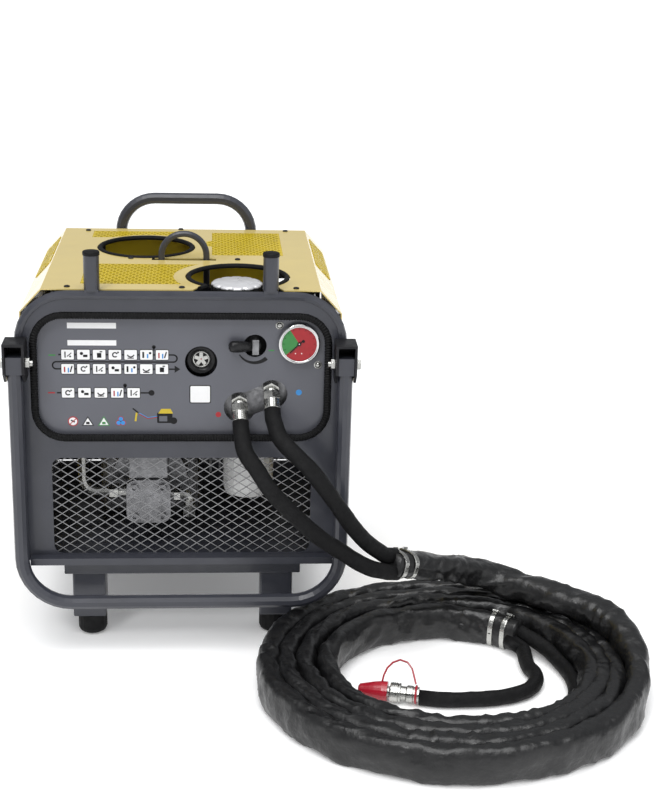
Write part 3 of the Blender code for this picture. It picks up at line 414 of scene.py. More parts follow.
def sleeve_profile(s, total):
    """Half width and half height of the sleeve at length s."""
    lead_end = 0.40
    rows = ((0.0, 0.0235, 0.0195), (0.045, 0.0245, 0.0205), (0.12, 0.0270, 0.0210),
            (lead_end, 0.0255, 0.0220),
            (lead_end + 0.22, 0.0175, 0.0305), (total - 0.42, 0.0155, 0.0305), (total - 0.14, 0.0170, 0.0300),
            (total - 0.045, 0.0185, 0.0270), (total, 0.0190, 0.0265))
    return between(rows, s)


def sleeve():
    points = flowing(sleeve_route(), 0.0042)
    total = measure(points)
    step = total / (len(points) - 1)

    def shape(i, angle):
        s = i * step
        half, tall = sleeve_profile(s, total)
        hold = min(1.0, s / 0.06, (total - s) / 0.06)
        inner = 0.5 + 0.5 * cos(angle)
        lift = soft(s, angle, 0.0046, 0.0040 * (0.6 + 0.8 * inner), 3.0) * (0.15 + 0.85 * max(0.0, hold))
        c, q = cos(angle), sin(angle)
        bulge = (abs(c) ** 3.0 + abs(q) ** 3.0) ** (-1 / 3.0)
        x = c * bulge * (half + lift)
        z = q * bulge * (tall + lift * 0.8)
        return x, max(z, 0.0006 - points[i].z)

    bm = bmesh.new()
    skin(bm, points, 32, shape)
    piece = keep(bm, "hose_sleeve", "sleeve")
    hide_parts("sleeve_lead", "sleeve_coil", "sleeve_end")
    return points


def hose(name, route, node, radius, seed=1.0):
    points = [Vector(route[0])] + flowing(route[1:-1], 0.0035) + [Vector(route[-1])]
    total = measure(points)

    def shape(i, angle):
        s = total * i / (len(points) - 1)
        hold = max(0.0, min(1.0, s / 0.02, (total - s) / 0.02))
        lift = soft(s * 1.3, angle, 0.0006, 0.0007, seed) * hold
        return (radius + lift) * cos(angle), (radius + lift) * sin(angle)

    bm = bmesh.new()
    skin(bm, points, 22, shape)
    piece = keep(bm, name, "cloth")
    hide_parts(node)
    return points


def twin_hoses():
    into = (LEAD[1] - LEAD[0]).normalized()
    apart = Vector((0.0, 0.6, 0.8))
    apart = (apart - into * apart.dot(into)).normalized() * (HOSE_R + 0.0003)
    start_p = at(0.0930, 0.0160, 0.4205) + DOWN * 0.0333
    start_t = at(0.1445, 0.0160, 0.4420) + DOWN * 0.0333
    end_p, end_t = LEAD[0] + into * 0.010 - apart, LEAD[0] + into * 0.010 + apart
    pressure = [start_p, start_p + DOWN * 0.014] + [at(*p) for p in (
        (0.101, -0.042, 0.358), (0.117, -0.062, 0.339), (0.144, -0.083, 0.304), (0.181, -0.092, 0.266),
        (0.220, -0.093, 0.230), (0.261, -0.090, 0.200), (0.300, -0.086, 0.1735))] + [end_p - into * 0.022,
                end_p]
    back = [start_t, start_t + DOWN * 0.014] + [at(*p) for p in (
        (0.156, -0.044, 0.384), (0.177, -0.066, 0.365), (0.207, -0.083, 0.339), (0.242, -0.091, 0.294),
        (0.272, -0.087, 0.249), (0.300, -0.075, 0.212))] + [end_t - into * 0.022, end_t]
    hose("pressure_hose", pressure, "hose_pressure", HOSE_R, seed=1.0)
    hose("return_hose", back, "hose_return", HOSE_R, seed=5.0)


def tails():
    tail_r, last = 0.0123, 46
    mid_r = 0.1915
    outer = [around(mid_r + 0.0085 - 0.010 * max(0.0, -(a + 60) / 24), a,
                    tail_r + 0.0005 + 0.018 * max(0.0, (a - 14) / 32))
             for a in [last + 3.5, last - 0.6] + [last - 0.6 - 130 * k / 14 for k in range(1, 14)] + [-84]]
    inner = [around(mid_r - 0.0150, last + 3.5, 0.0240), around(mid_r - 0.0170, 38, 0.0165)]
    inner += [at(*p, tail_r) for p in ((0.570, -0.130), (0.576, -0.157), (0.571, -0.186), (0.550, -0.213),
                                       (0.517, -0.229), (0.480, -0.236), (0.440, -0.238), (0.405, -0.236),
                                       (0.376, -0.229))]
    hose("return_tail", outer, "tail_return", tail_r, 2.0)
    hose("pressure_tail", inner, "tail_pressure", tail_r,
         6.0)


def clamp(name, points, place, half, tall, ear):
    """A steel band round the sleeve with its folded ear; ear is the angle where that sits."""
    p = points[place]
    t, side, high = frames(points)[place]
    band, thick, sides = 0.0085, 0.0011, 40
    bm = bmesh.new()
    rings = []
    for along, grow in ((-1, 0.0), (-1, 1.0), (-0.72, 1.25), (0.72, 1.25), (1, 1.0), (1, 0.0)):
        ring = []
        for k in range(sides):
            a = 2 * pi * k / sides
            c, q = cos(a), sin(a)
            bulge = (abs(c) ** 2.6 + abs(q) ** 2.6) ** (-1 / 2.6)
            ring.append(bm.verts.new(p + t * along * band / 2 + side * c * bulge * (half + grow * thick)
                                     + high * q * bulge * (tall + grow * thick)))
        rings.append(ring)
    for one, two in zip(rings, rings[1:] + rings[:1]):
        for k in range(sides):
            j = (k + 1) % sides
            bm.faces.new((one[k], one[j], two[j], two[k]))
    c, q = cos(ear), sin(ear)
    bulge = (abs(c) ** 2.6 + abs(q) ** 2.6) ** (-1 / 2.6)
    spot = p + side * c * bulge * (half + thick) + high * q * bulge * (tall + thick)
    out = (side * c / half + high * q / tall).normalized()
    across = t.cross(out).normalized()
    for shift, size in ((0.0, (0.0065, 0.0046, 0.0024)), (-0.0052, (0.0016, 0.0052, 0.0034)),
                        (0.0052, (0.0016, 0.0052, 0.0034))):
        made = bmesh.ops.create_cube(bm, size=1.0)
        turn = Matrix((across, t, out)).transposed().to_4x4()
        bmesh.ops.transform(bm, matrix=Matrix.Translation(spot + across * shift + out * size[2] * 0.45) @ turn
                            @ Matrix.Diagonal((size[0], 2 * size[1], size[2], 1)), verts=made["verts"])
    piece = keep(bm, name, "steel", shaded=False)
    piece.modifiers.new("edge", "BEVEL").width = 0.0003
    return piece


# Front grille: expanded metal with fine strands
def grille():
    lo, hi = Vector(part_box("front_grille")[0]), Vector(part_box("front_grille")[1])
    wide, tall, strand, thick = 0.0234, 0.0149, 0.0015, 0.0006
    middle_y, wave = (lo.y + hi.y) / 2, 0.0004
    width, height = hi.x - lo.x, hi.z - lo.z
    bm = bmesh.new()
    columns, rows = round(width / wide), round(height / tall)
    wide, tall = width / columns, height / rows
    across = Vector((tall, 0, wide)).normalized() * strand / 2
    for lean in (-1, 1):
        side = Vector((across.x * -lean, 0, across.z))
        for start in range(-rows, columns + rows + 1):
            knots = []
            for k in range(2 * rows + 1):
                column = start + lean * k / 2
                if -1e-6 <= column <= columns + 1e-6:
                    depth = wave * (1 if k % 2 else -1) * lean
                    knots.append(Vector((lo.x + column * wide, middle_y + depth, lo.z + k * tall / 2)))
            if len(knots) < 2:
                continue
            rings = []
            for p in knots:
                rings.append([bm.verts.new(p + side * a + Vector((0, b * thick / 2, 0)))
                              for a, b in ((-1, -1), (1, -1), (1, 1), (-1, 1))])
            for one, two in zip(rings, rings[1:]):
                for k in range(4):
                    j = (k + 1) % 4
                    bm.faces.new((one[k], one[j], two[j], two[k]))
            bm.faces.new(rings[0])
            bm.faces.new(rings[-1])
    edge = 0.003
    for x0, x1, z0, z1 in ((lo.x, hi.x, lo.z, lo.z + edge), (lo.x, hi.x, hi.z - edge, hi.z),
                           (lo.x, lo.x + edge, lo.z, hi.z), (hi.x - edge, hi.x, lo.z, hi.z)):
        made = bmesh.ops.create_cube(bm, size=1.0)
        bmesh.ops.scale(bm, vec=(x1 - x0, thick, z1 - z0), verts=made["verts"])
        bmesh.ops.translate(bm, vec=((x0 + x1) / 2, middle_y, (z0 + z1) / 2), verts=made["verts"])
    piece = keep(bm, "expanded_metal", "strand", shaded=False)
    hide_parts("front_grille")


# Hood: the CAD's sheet with its fields of small holes really pierced
def field(bm, corner, right, up, width, height, skip=None):
    """Adds a pierced sheet on a plane: staggered slots in brick-shaped cells."""
    pitch, row, hole_x, hole_y, sides = 0.0105, 0.0095, 0.0032, 0.0027, 10
    columns, rows = int(width / pitch), int(height / row)
    pitch, row = width / columns, height / rows
    for j in range(rows):
        shift = 0.5 if j % 2 else 0.0
        for i in range(columns + (1 if shift else 0)):
            x0, x1 = max(0.0, (i - shift) * pitch), min(width, (i + 1 - shift) * pitch)
            y0, y1 = j * row, (j + 1) * row
            cx, cy = (x0 + x1) / 2, (y0 + y1) / 2
            if skip and skip(cx, cy):
                continue
            solid = x1 - x0 < pitch * 0.9
            if solid:
                bm.faces.new([bm.verts.new(corner + right * a + up * b) for a, b in
                              ((x0, y0), (x1, y0), (x1, y1), (x0, y1))])
                continue
            outer, inner = [], []
            for k in range(sides):
                a = 2 * pi * (k + 0.5) / sides
                c, q = cos(a), sin(a)
                reach = min((x1 - x0) / 2 / max(1e-6, abs(c)), (y1 - y0) / 2 / max(1e-6, abs(q)))
                outer.append(bm.verts.new(corner + right * (cx + c * reach) + up * (cy + q * reach)))
                inner.append(bm.verts.new(corner + right * (cx + c * hole_x) + up * (cy + q * hole_y)))
            for k in range(sides):
                m = (k + 1) % sides
                bm.faces.new((outer[k], outer[m], inner[m], inner[k]))


def arc_of(centre, radius, start, end, steps=8):
    return [(centre[0] + radius * cos(radians(start + (end - start) * k / steps)),
             centre[1] + radius * sin(radians(start + (end - start) * k / steps))) for k in range(steps + 1)]


FRONT_HOLE, REAR_HOLE = (0.0905, 0.104), (-0.068, 0.317)
# Each top field: x range, depth range, and the circle that cuts it
FIELDS = ((-0.163, 0.025, 0.050, 0.188, FRONT_HOLE, 0.106), (-0.169, -0.020, 0.394, 0.447, REAR_HOLE, 0.1000),
          (0.048, 0.172, 0.258, 0.440, None, 0.0))
MOUTHS = ([(-0.163, 0.050), (-0.0007, 0.050)] + arc_of(FRONT_HOLE, 0.106, 210.6, 127.6) + [(-0.163, 0.188)],
          [(-0.169, 0.394), (-0.1320, 0.394)] + arc_of(REAR_HOLE, 0.1000, 129.6, 61.3) + [(-0.020, 0.447),
                  (-0.169, 0.447)],
          [(0.048, 0.258), (0.172, 0.258), (0.172, 0.440), (0.048, 0.440), (0.048, 0.372), (0.038, 0.366),
           (0.038, 0.330), (0.048, 0.324)])
SHOULDER_TOP, SHOULDER_LOW = (0.2225, 0.611), (0.257, 0.573)
SHOULDER_FIELD = (0.215, 0.420)


def pierced_fields():
    top = HOOD_HI[2] - 0.0007
    bm = bmesh.new()
    x, y = Vector((1, 0, 0)), Vector((0, 1, 0))
    for x0, x1, d0, d1, hole, reach in FIELDS:
        skip = None
        if hole:
            skip = (lambda a, b, x0=x0, d0=d0, hole=hole, reach=reach:
                    (a + x0 - hole[0]) ** 2 + (b + d0 - hole[1]) ** 2 < (reach - 0.007) ** 2)
        left = 0.010 if not hole else 0.0
        field(bm, Vector((x0 - left, FRONT_Y + d0, top)), x, y, x1 - x0 + left, d1 - d0, skip)
    for side in (-1, 1):
        start, slope, length = shoulder(side)
        field(bm, start - slope.cross(y) * side * 0.0007 * -1, slope, y, length,
              SHOULDER_FIELD[1] - SHOULDER_FIELD[0])
    piece = keep(bm, "hood_pierced_fields", "deep_yellow", shaded=False)
    sheet = piece.modifiers.new("sheet", "SOLIDIFY")
    sheet.thickness, sheet.offset = 0.0010, 0.0


def shoulder(side):
    """Start, direction and length of the field on a shoulder, along its slope."""
    slope = Vector((side * (SHOULDER_LOW[0] - SHOULDER_TOP[0]), 0, SHOULDER_LOW[1] - SHOULDER_TOP[1]))
    length = slope.length - 0.014
    slope.normalize()
    start = Vector((side * SHOULDER_TOP[0], FRONT_Y + SHOULDER_FIELD[0], SHOULDER_TOP[1])) + slope * 0.007
    return start, slope, length


def prism(bm, outline, along):
    """Adds a closed prism round an outline, reaching both ways along a direction."""
    low = [bm.verts.new(p - along) for p in outline]
    high = [bm.verts.new(p + along) for p in outline]
    bm.faces.new(low)
    bm.faces.new(list(reversed(high)))
    for k in range(len(outline)):
        j = (k + 1) % len(outline)
        bm.faces.new((low[j], low[k], high[k], high[j]))


def hood():
    """The CAD's hood with a mouth cut for each pierced field."""
    mesh = nodes["hood"].data.copy()
    piece = bpy.data.objects.new("hood_sheet", mesh)
    scene.collection.objects.link(piece)
    mesh.materials.clear()
    mesh.materials.append(MAT["yellow"])
    bm = bmesh.new()
    for outline in MOUTHS:
        prism(bm, [at(x, depth, HOOD_HI[2]) for x, depth in outline], Vector((0, 0, 0.008)))
    y = Vector((0, SHOULDER_FIELD[1] - SHOULDER_FIELD[0], 0))
    for side in (-1, 1):
        start, slope, length = shoulder(side)
        outline = [start, start + slope * length, start + slope * length + y, start + y]
        prism(bm, outline, slope.cross(Vector((0, 1, 0))) * 0.006)
    bmesh.ops.recalc_face_normals(bm, faces=bm.faces)
    cutter = bpy.data.meshes.new("mouths")
    bm.to_mesh(cutter)
    bm.free()
    tool = bpy.data.objects.new("mouths", cutter)
    scene.collection.objects.link(tool)
    cut = piece.modifiers.new("mouths", "BOOLEAN")
    cut.operation, cut.solver, cut.object = "DIFFERENCE", "EXACT", tool
    bpy.context.view_layer.update()
    mesh = bpy.data.meshes.new_from_object(piece.evaluated_get(bpy.context.evaluated_depsgraph_get()))
    piece.modifiers.clear()
    piece.data = mesh
    bpy.data.objects.remove(tool)
    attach(piece, ROOT)
    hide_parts("hood")
    pierced_fields()


# Panel marks: generic signs without any lettering, laid on the panel as thin films
class Film:
    """Flat shapes at a depth; each layer stands a little further out than the last."""

    STEP = 0.00012

    def __init__(self, depth):
        self.depth, self.sheets = depth, {}

    def shape(self, mat, outline, layer=1):
        """outline: (x, z) points anticlockwise seen from the front."""
        bm = self.sheets.setdefault(mat, bmesh.new())
        front = [bm.verts.new(at(x, self.depth - layer * self.STEP, z)) for x, z in outline]
        back = [bm.verts.new(at(x, self.depth + 0.00004, z)) for x, z in outline]
        bm.faces.new(front)
        bm.faces.new(list(reversed(back)))
        for k in range(len(outline)):
            j = (k + 1) % len(outline)
            bm.faces.new((front[j], front[k], back[k], back[j]))

    def block(self, mat, x, z, width, height, layer=1, corner=0.0):
        if corner <= 0:
            self.shape(mat, [(x - width / 2, z - height / 2), (x + width / 2, z - height / 2),
                             (x + width / 2, z + height / 2), (x - width / 2, z + height / 2)], layer)
            return
        points = []
        for k, (sx, sz) in enumerate(((1, 1), (-1, 1), (-1, -1), (1, -1))):
            for step in range(5):
                a = radians(90 * k + 22.5 * step)
                points.append((x + sx * (width / 2 - corner) + corner * cos(a),
                               z + sz * (height / 2 - corner) + corner * sin(a)))
        self.shape(mat, points, layer)

    def disc(self, mat, x, z, radius, layer=1, sides=28):
        self.shape(mat, [(x + radius * cos(2 * pi * k / sides), z + radius * sin(2 * pi * k / sides))
                         for k in range(sides)], layer)

    def sector(self, mat, x, z, r0, r1, start, end, layer=1):
        steps = max(2, int(abs(end - start) / 6))
        angles = [radians(start + (end - start) * k / steps) for k in range(steps + 1)]
        for a, b in zip(angles, angles[1:]):
            quad = [(x + r0 * cos(a), z + r0 * sin(a)), (x + r1 * cos(a), z + r1 * sin(a)),
                    (x + r1 * cos(b), z + r1 * sin(b)), (x + r0 * cos(b), z + r0 * sin(b))]
            self.shape(mat, quad if r0 else quad[:3], layer)

    def line(self, mat, points, width, layer=1):
        for (x0, z0), (x1, z1) in zip(points, points[1:]):
            along = Vector((x1 - x0, z1 - z0)).normalized()
            off = Vector((-along.y, along.x)) * width / 2
            more = along * width * 0.12
            self.shape(mat, [(x0 - more.x - off.x, z0 - more.y - off.y),
                             (x1 + more.x - off.x, z1 + more.y - off.y),
                             (x1 + more.x + off.x, z1 + more.y + off.y),
                             (x0 - more.x + off.x, z0 - more.y + off.y)], layer)

    def finish(self, name, slot="white_paint", body=ROOT):
        for mat, bm in self.sheets.items():
            piece = keep(bm, name + "_" + mat, mat, body, shaded=False)


def pictogram(film, x, z, kind):
    """A framed white square with a generic mark in it."""
    film.block("ink_black", x, z, 0.0222, 0.0190, 1, 0.003)
    film.block("ink_white", x, z, 0.0200, 0.0164, 2, 0.0015)
    u = 0.001
    if kind == 0:
        film.block("ink_black", x - 4 * u, z, 2 * u, 10 * u, 3)
        film.line("ink_black", [(x - u, z - 3 * u), (x + 6 * u, z + 3 * u)], 1.4 * u, 3)
        film.disc("ink_black", x + 4 * u, z - 3 * u, 1.5 * u, 3)
    elif kind == 1:
        film.disc("ink_black", x - 3 * u, z + 2 * u, 2.6 * u, 3)
        film.block("ink_black", x + 3 * u, z - 2 * u, 7 * u, 4 * u, 3)
    elif kind == 2:
        film.block("ink_black", x, z - u, 7 * u, 8 * u, 3)
        film.block("ink_black", x + 3 * u, z + 5 * u, 4 * u, 2 * u, 3)
    elif kind == 3:
        film.sector("ink_black", x, z, 2.6 * u, 4.6 * u, 20, 320, 3)
        film.disc("ink_black", x + 5 * u, z + 4 * u, 1.4 * u, 3)
    elif kind == 4:
        film.sector("ink_black", x, z + 2 * u, 4.5 * u, 6.5 * u, 200, 340, 3)
        film.block("ink_black", x, z - 5.5 * u, 10 * u, 1.6 * u, 3)
    elif kind == 5:
        film.block("ink_black", x - 5 * u, z, 3 * u, 10 * u, 3)
        film.block("ink_blue", x + 2 * u, z - 2 * u, 2.4 * u, 7 * u, 3)
        film.disc("ink_black", x + 6 * u, z + 3 * u, 2.0 * u, 3)
    else:
        film.block("ink_red", x - 5 * u, z - u, 2.2 * u, 9 * u, 3)
        film.block("ink_blue", x + 1 * u, z - 2 * u, 2.2 * u, 8 * u, 3)
        film.line("ink_black", [(x + 4 * u, z - 5 * u), (x + 7 * u, z + 5 * u)], 2.0 * u, 3)


def panel_marks():
    film = Film(PANEL_DEPTH)
    for z, height in ((0.5511, 0.0094), (0.5225, 0.0088)):
        film.block("ink_white", -0.1435, z, 0.0775, height)
    rows = ((-0.1826, 0.5027, 7, 0.0251), (-0.1830, 0.4787, 7, 0.0251), (-0.1836, 0.4383, 5, 0.0263))
    kinds = ((0, 1, 2, 3, 4, 5, 6), (6, 3, 0, 1, 5, 4, 2), (3, 1, 4, 6, 0))
    for (x0, z, count, pitch), chosen in zip(rows, kinds):
        for k in range(count):
            pictogram(film, x0 + k * pitch, z, chosen[k])
    top, low, mid = rows[0][1], rows[1][1], 0.4907
    right, left, bend = -0.0140, -0.2010, 0.0060
    line = [(left + 0.004, top), (right, top)]
    line += [(right + bend * sin(radians(a)), mid + bend + bend * cos(radians(a))) for a in range(15, 181,
            15)]
    line += [(left, mid)] + [(left - bend * sin(radians(a)), mid - bend + bend * cos(radians(a)))
                             for a in range(15, 181, 15)] + [(-0.0120, low)]
    film.line("ink_black", line, 0.0024)
    film.shape("ink_black", [(-0.0120, low - 0.0062), (-0.0030, low), (-0.0120, low + 0.0062)])
    film.line("ink_black", [(-0.2010, rows[2][1]), (-0.0530, rows[2][1])], 0.0024)
    film.disc("ink_black", -0.0495, rows[2][1], 0.0048)
    for x, z in ((-0.0450, 0.5160), (-0.0920, 0.4510)):
        film.disc("ink_black", x, z, 0.0030, 3, 16)
        film.shape("ink_black", [(x - 0.0026, z), (x, z - 0.0075), (x + 0.0026, z)], 3)
    film.block("ink_green", -0.2075, top - 0.001, 0.011, 0.0022)
    film.block("ink_red", -0.2100, rows[2][1], 0.011, 0.0022)
    sign_z = 0.3893
    film.disc("ink_red", -0.1769, sign_z, 0.0084)
    film.disc("ink_white", -0.1769, sign_z, 0.0066, 2)
    film.line("ink_black", [(-0.1800, sign_z + 0.002), (-0.1740, sign_z - 0.001)], 0.0022, 3)
    film.line("ink_red", [(-0.1822, sign_z - 0.0050), (-0.1716, sign_z + 0.0050)], 0.0014, 4)
    for x, mat in ((-0.1530, "ink_black"), (-0.1272, "ink_green")):
        film.shape(mat, [(x - 0.0098, sign_z - 0.0075), (x + 0.0098, sign_z - 0.0075), (x, sign_z + 0.0090)])
        film.shape("ink_white", [(x - 0.0073, sign_z - 0.0061), (x + 0.0073, sign_z - 0.0061),
                                 (x, sign_z + 0.0062)], 2)
        film.block(mat, x, sign_z - 0.0028, 0.0056, 0.0040, 3)
    for x, z in ((-0.1035, 0.3868), (-0.0962, 0.3868), (-0.0998, 0.3935)):
        film.disc("ink_red", x, z, 0.0046, 1, 18)
        film.disc("ink_blue", x, z, 0.0036, 2, 18)
    film.block("ink_black", -0.0285, 0.3955, 0.0250, 0.0180, 1, 0.002)
    film.shape("deep_yellow", [(-0.0390, 0.4030), (-0.0150, 0.4030), (-0.0190, 0.4110), (-0.0340, 0.4110)], 2)
    film.disc("ink_black", -0.0140, 0.3905, 0.0058, 2, 18)
    film.block("panel", -0.0310, 0.3940, 0.0130, 0.0090, 3)
    film.line("ink_blue", [(-0.0400, 0.3985), (-0.0560, 0.3960), (-0.0700, 0.4040)], 0.0010)
    film.line("ink_red", [(-0.0400, 0.3965), (-0.0560, 0.3940), (-0.0700, 0.4020)], 0.0010)
    film.line("deep_yellow", [(-0.0740, 0.4040), (-0.0760, 0.3900)], 0.0030, 2)
    film.line("ink_black", [(-0.0800, 0.4115), (-0.0715, 0.4045)], 0.0022, 3)
    film.block("ink_black", 0.0292, 0.4362, 0.0350, 0.0312, 1, 0.003)
    film.block("ink_white", 0.0292, 0.4362, 0.0318, 0.0280, 2, 0.002)
    film.disc("ink_red", 0.0587, 0.4013, 0.0046)
    film.disc("ink_blue", 0.1898, 0.4396, 0.0050)
    for k in range(12):
        a = 212 + k * 8.5
        film.sector("ink_black", 0.1160, 0.5186, 0.0268 - 0.00013 * k, 0.0290 + 0.00028 * k, a, a + 8.8)
    film.block("ink_green", 0.1440, 0.5110, 0.0090, 0.0020)
    film.finish("panel_marks")


def gauge_face():
    x, z, depth = 0.1885, 0.5244, 0.0064
    film = Film(depth)
    film.sector("ink_red", x, z, 0.0001, 0.0283, 221, 483, 1)
    film.sector("ink_green", x, z, 0.0001, 0.0283, 123, 221, 1)
    film.disc("ink_black", x + 0.0065, z + 0.0045, 0.0026, 2, 14)
    for k in range(13):
        a = radians(225 - 22.5 * k)
        film.line("ink_black", [(x + 0.0235 * cos(a), z + 0.0235 * sin(a)),
                                (x + 0.0262 * cos(a), z + 0.0262 * sin(a))],
                  0.0007, 2)
    for dx in (-0.006, 0.004):
        film.disc("ink_white", x + dx, z - 0.0160, 0.0010, 2, 10)
    film.finish("gauge_dial", "red_plastic")
    bm = bmesh.new()
    turned(bm, [(0.0286, 0.0), (0.0291, 0.0018), (0.0306, 0.0028), (0.0326, 0.0024), (0.0338, 0.0005),
                (0.0338, -0.0030)],
           at(x, 0.0060, z), FRONT, 56)
    keep(bm, "gauge_bezel", "chrome")
    bm = bmesh.new()
    turned(bm, [(0.0, 0.0030), (0.0012, 0.0028), (0.0016, 0.0018), (0.0016, 0.0)], at(x, 0.0060, z), FRONT,
           16)
    keep(bm, "gauge_pin", "steel")


def turned(bm, profile, base, axis, sides=32, wave=None):
    """Adds a surface of revolution; profile is (radius, height) along the axis."""
    axis = axis.normalized()
    side = axis.orthogonal().normalized()
    other = axis.cross(side)
    rings = []
    for radius, height in profile:
        if radius <= 1e-6:
            rings.append([bm.verts.new(base + axis * height)])
            continue
        ring = []
        for k in range(sides):
            a = 2 * pi * k / sides
            r = radius * (wave(a, height) if wave else 1.0)
            ring.append(bm.verts.new(base + axis * height + side * r * cos(a) + other * r * sin(a)))
        rings.append(ring)
    for one, two in zip(rings, rings[1:]):
        for k in range(sides):
            j = (k + 1) % sides
            if len(one) == 1:
                bm.faces.new((one[0], two[k], two[j]))
            elif len(two) == 1:
                bm.faces.new((one[k], two[0], one[j]))
            else:
                bm.faces.new((one[k], two[k], two[j], one[j]))


def sight_glass():
    x, z = 0.0307, 0.4913
    bm = bmesh.new()
    turned(bm, [(0.0145, 0.0), (0.0145, 0.004), (0.0165, 0.0065), (0.0205, 0.0085), (0.0232, 0.0085),
                (0.0240, 0.0070),
                (0.0240, 0.0)], at(x, 0.0330, z), FRONT, 48)
    ring = keep(bm, "sight_ring", "plastic")
    bm = bmesh.new()
    turned(bm, [(0.0, 0.0), (0.0143, 0.0)], at(x, 0.0318, z), FRONT, 32)
    keep(bm, "sight_bottom", "ink_black")
    bm = bmesh.new()
    turned(bm, [(0.0112, 0.0), (0.0112, 0.0030), (0.0125, 0.0042), (0.0142, 0.0036), (0.0142, 0.0)],
           at(x, 0.0325, z), FRONT, 40)
    keep(bm, "sight_rim", "steel")
    film = Film(0.0318)
    points = []
    for k in range(10):
        a = radians(90 + 36 * k)
        r = 0.0118 if k % 2 == 0 else 0.0050
        spread = 0.24 if k % 2 == 0 else 0.0
        for d in ((-spread, spread) if spread else (0.0,)):
            points.append((x + r * cos(a + d), z + r * sin(a + d)))
    film.STEP = 0.0016
    film.shape("steel", points)
    film.STEP = 0.0020
    film.disc("ink_red", x, z, 0.0011, 1, 12)
    film.finish("sight_star", "bright_steel")
    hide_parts("oil_sight_glass")


def lever():
    x, z = 0.1174, 0.5186
    bm = bmesh.new()
    reach = Vector((-1.0, -0.30, 0.08)).normalized()
    turned(bm, [(0.0, 0.0), (0.0060, 0.0), (0.0075, 0.006), (0.0090, 0.0135), (0.0098, 0.024),
                (0.0096, 0.031),
                (0.0080, 0.0355), (0.0045, 0.0375), (0.0, 0.0380)], at(x - 0.006, 0.0100, z), reach, 28)
    knob = keep(bm, "throttle_knob", "plastic", "throttle")
    bm = bmesh.new()
    turned(bm, [(0.0, 0.0), (0.0100, 0.0), (0.0100, 0.045), (0.0085, 0.0465), (0.0, 0.0465)], at(x, 0.060, z),
           FRONT, 28)
    keep(bm, "throttle_pivot", "black_metal", "throttle")
    bm = bmesh.new()
    made = bmesh.ops.create_cube(bm, size=1.0)
    bmesh.ops.scale(bm, vec=(0.0110, 0.0016, 0.0250), verts=made["verts"])
    bmesh.ops.translate(bm, vec=at(x + 0.001, 0.0118, z - 0.002), verts=made["verts"])
    plate = keep(bm, "throttle_plate", "cast", "throttle", shaded=False)
    plate.modifiers.new("edge", "BEVEL").width = 0.0005
    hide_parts("throttle_lever")


def fuel_cap():
    """A bright cap with a scalloped black skirt."""
    lo, hi = (Vector(corner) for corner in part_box("fuel_cap"))
    base = Vector(((lo.x + hi.x) / 2, (lo.y + hi.y) / 2, lo.z))
    radius, height = (hi.x - lo.x) / 2, hi.z - lo.z
    up, sides, lobes, bite = Vector((0, 0, 1)), 120, 12, 0.075
    round_above = height * 0.95

    def scallop(a, h):
        return 1 - bite * max(0.0, cos(lobes * a)) ** 2

    bm = bmesh.new()
    turned(bm, [(0.0, 0.0), (radius * 0.97, 0.0), (radius, 0.0015), (radius, height * 0.72),
                (radius * 0.97, height * 0.78)], base, up, sides, scallop)
    skirt = keep(bm, "fuel_cap_skirt", "plastic", "fuel_cap")
    bm = bmesh.new()
    turned(bm, [(radius * 0.985, height * 0.66), (radius * 1.0, height * 0.74),
                (radius * 0.985, height * 0.84),
                (radius * 0.90, height * 0.93), (radius * 0.72, height * 0.975),
                (radius * 0.66, height * 0.955),
                (radius * 0.60, height * 0.985), (radius * 0.30, height), (0.0, height)], base, up, sides,
           lambda a, h: scallop(a, h) if h < round_above else 1.0)
    crown = keep(bm, "fuel_cap_crown", "satin", "fuel_cap")
    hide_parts("fuel_cap")


def coupler_details():
    """The strap's ring round the coupler, and three raised rings on its sliding sleeve."""
    bm = bmesh.new()
    turned(bm, [(0.0124, 0.0030), (0.0148, 0.0036), (0.0152, 0.0050), (0.0148, 0.0064), (0.0124, 0.0070)],
           COUPLER_BASE, COUPLER_AXIS, 32)
    keep(bm, "strap_ring", "red")
    bm = bmesh.new()
    for start in (0.0350, 0.0385, 0.0415):
        turned(bm, [(0.0153, start), (0.0158, start + 0.0006), (0.0158, start + 0.0014),
                    (0.0153, start + 0.0020)],
               COUPLER_BASE, COUPLER_AXIS, 36)
    keep(bm, "coupler_knurls", "steel", "coupler_sleeve")


def rear_inside():
    """The painted sheet seen through the hood's rear opening, just before the guard."""
    half_width, front, back, bottom, top = 0.150, 0.4612, 0.4622, 0.450, 0.605
    lo, hi = at(-half_width, front, bottom), at(half_width, back, top)
    bm = bmesh.new()
    made = bmesh.ops.create_cube(bm, size=1.0)
    bmesh.ops.scale(bm, vec=hi - lo, verts=made["verts"])
    bmesh.ops.translate(bm, vec=(lo + hi) / 2, verts=made["verts"])
    piece = keep(bm, "rear_inner_sheet", "deep_yellow", shaded=False)


def ribbed_tube(name, points, radius, node):
    """A push-on edge trim with ribs across it."""
    pitch, groove, sides = 0.0044, 0.16, 14
    count = int(measure(points) / (pitch / 4))
    route = flowing(points, measure(points) / count)

    def ribs(i):
        return radius * (1 - (groove if i % 4 in (0, 1) else 0))

    bm = bmesh.new()
    skin(bm, route, sides, lambda i, a: (ribs(i) * cos(a), ribs(i) * sin(a)), up=Vector((0.02, 1, 0.03)))
    piece = keep(bm, name, "rubber", shaded=False)
    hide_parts(node)


def filled(points, spacing):
    """The same route with points put into its long straight stretches."""
    out = [points[0]]
    for a, b in zip(points, points[1:]):
        parts = max(1, round((b - a).length / spacing))
        out += [a.lerp(b, (k + 1) / parts) for k in range(parts)]
    return out


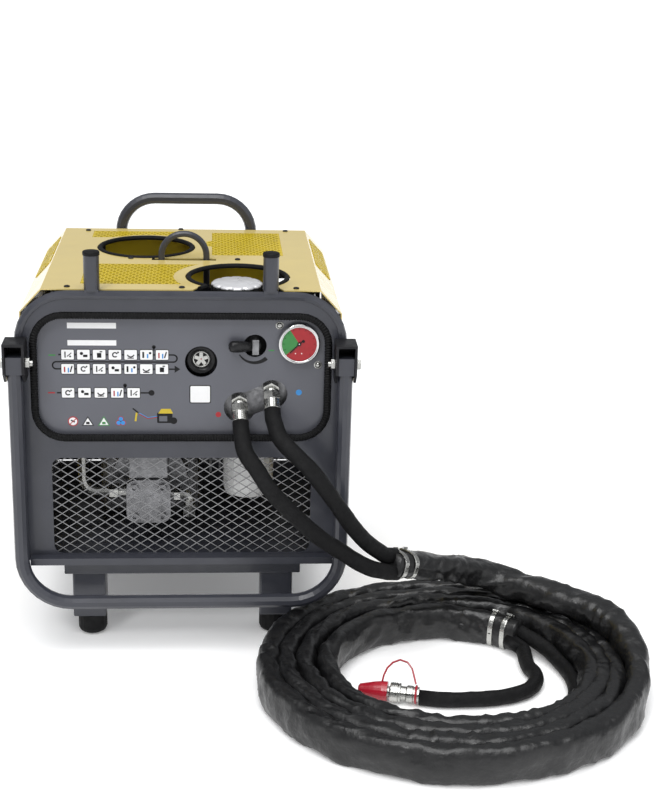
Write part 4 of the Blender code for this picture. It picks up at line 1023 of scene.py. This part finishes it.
def trims():
    half, low, high, corner, depth = 0.2357, 0.3645, 0.5703, 0.047, 0.0055
    loop = []
    for k, (sx, z0) in enumerate(((1, high), (-1, high), (-1, low), (1, low))):
        cx, cz = sx * (half - corner), z0 - corner if z0 == high else z0 + corner
        for step in range(9):
            a = radians(90 * k + 90 * step / 8)
            loop.append(at(cx + corner * cos(a), depth, cz + corner * sin(a)))
    loop.append(loop[0].copy())
    ribbed_tube("panel_trim_ribbed", filled(loop, 0.009), 0.0061, "panel_edge_trim")


def fastener(bm, place, axis, radius, height, recess=0.45):
    turned(bm, [(0.0, height * 0.45), (radius * recess * 0.8, height * 0.45), (radius * recess, height),
                (radius * 0.8, height), (radius, height * 0.6), (radius, 0.0)], place, axis, 18)


def screws_and_caps():
    up = Vector((0, 0, 1))
    bm = bmesh.new()
    for x, depth in ((-0.182, 0.029), (0.0, 0.028), (0.183, 0.027), (-0.091, 0.229), (0.092, 0.225),
                     (-0.180, 0.450), (-0.010, 0.466), (0.185, 0.460)):
        fastener(bm, at(x, depth, HOOD_HI[2]), up, 0.0048, 0.0022)
    keep(bm, "hood_screws", "black_metal")
    bm = bmesh.new()
    for x, z in ((0.1568, 0.5531), (0.2201, 0.4869)):
        turned(bm, [(0.0, 0.0036), (0.0022, 0.0034), (0.0038, 0.0024), (0.0046, 0.0010), (0.0050, 0.0)],
               at(x, PANEL_DEPTH, z), FRONT, 20)
        turned(bm, [(0.0052, 0.0007), (0.0066, 0.0007), (0.0068, 0.0)], at(x, PANEL_DEPTH, z), FRONT, 20)
    keep(bm, "panel_screws", "steel")
    bm = bmesh.new()
    for side in (-1, 1):
        turned(bm, [(0.0134, -0.0030), (0.0136, 0.0), (0.0134, 0.0022), (0.0124, 0.0032), (0.0, 0.0035)],
               at(side * 0.1415, 0.0115, 0.6703), up, 32)
    keep(bm, "post_caps", "rubber")


def clamps(points):
    steps = [0.0]
    for a, b in zip(points, points[1:]):
        steps.append(steps[-1] + (b - a).length)
    total = steps[-1]
    for name, s, ear in (("clamp_start_1", 0.012, 2.2), ("clamp_start_2", 0.034, 2.2),
                         ("clamp_end_1", total - 0.048, 2.0), ("clamp_end_2", total - 0.020, 2.0)):
        place = min(range(len(steps)), key=lambda k: abs(steps[k] - s))
        half, tall = sleeve_profile(s, total)
        clamp(name, points, place, half + 0.0012, tall + 0.0012, ear)


studio()
paint_nodes()
points = sleeve()
twin_hoses()
tails()
grille()
hood()
panel_marks()
gauge_face()
sight_glass()
lever()
trims()
screws_and_caps()
clamps(points)
fuel_cap()
coupler_details()
rear_inside()
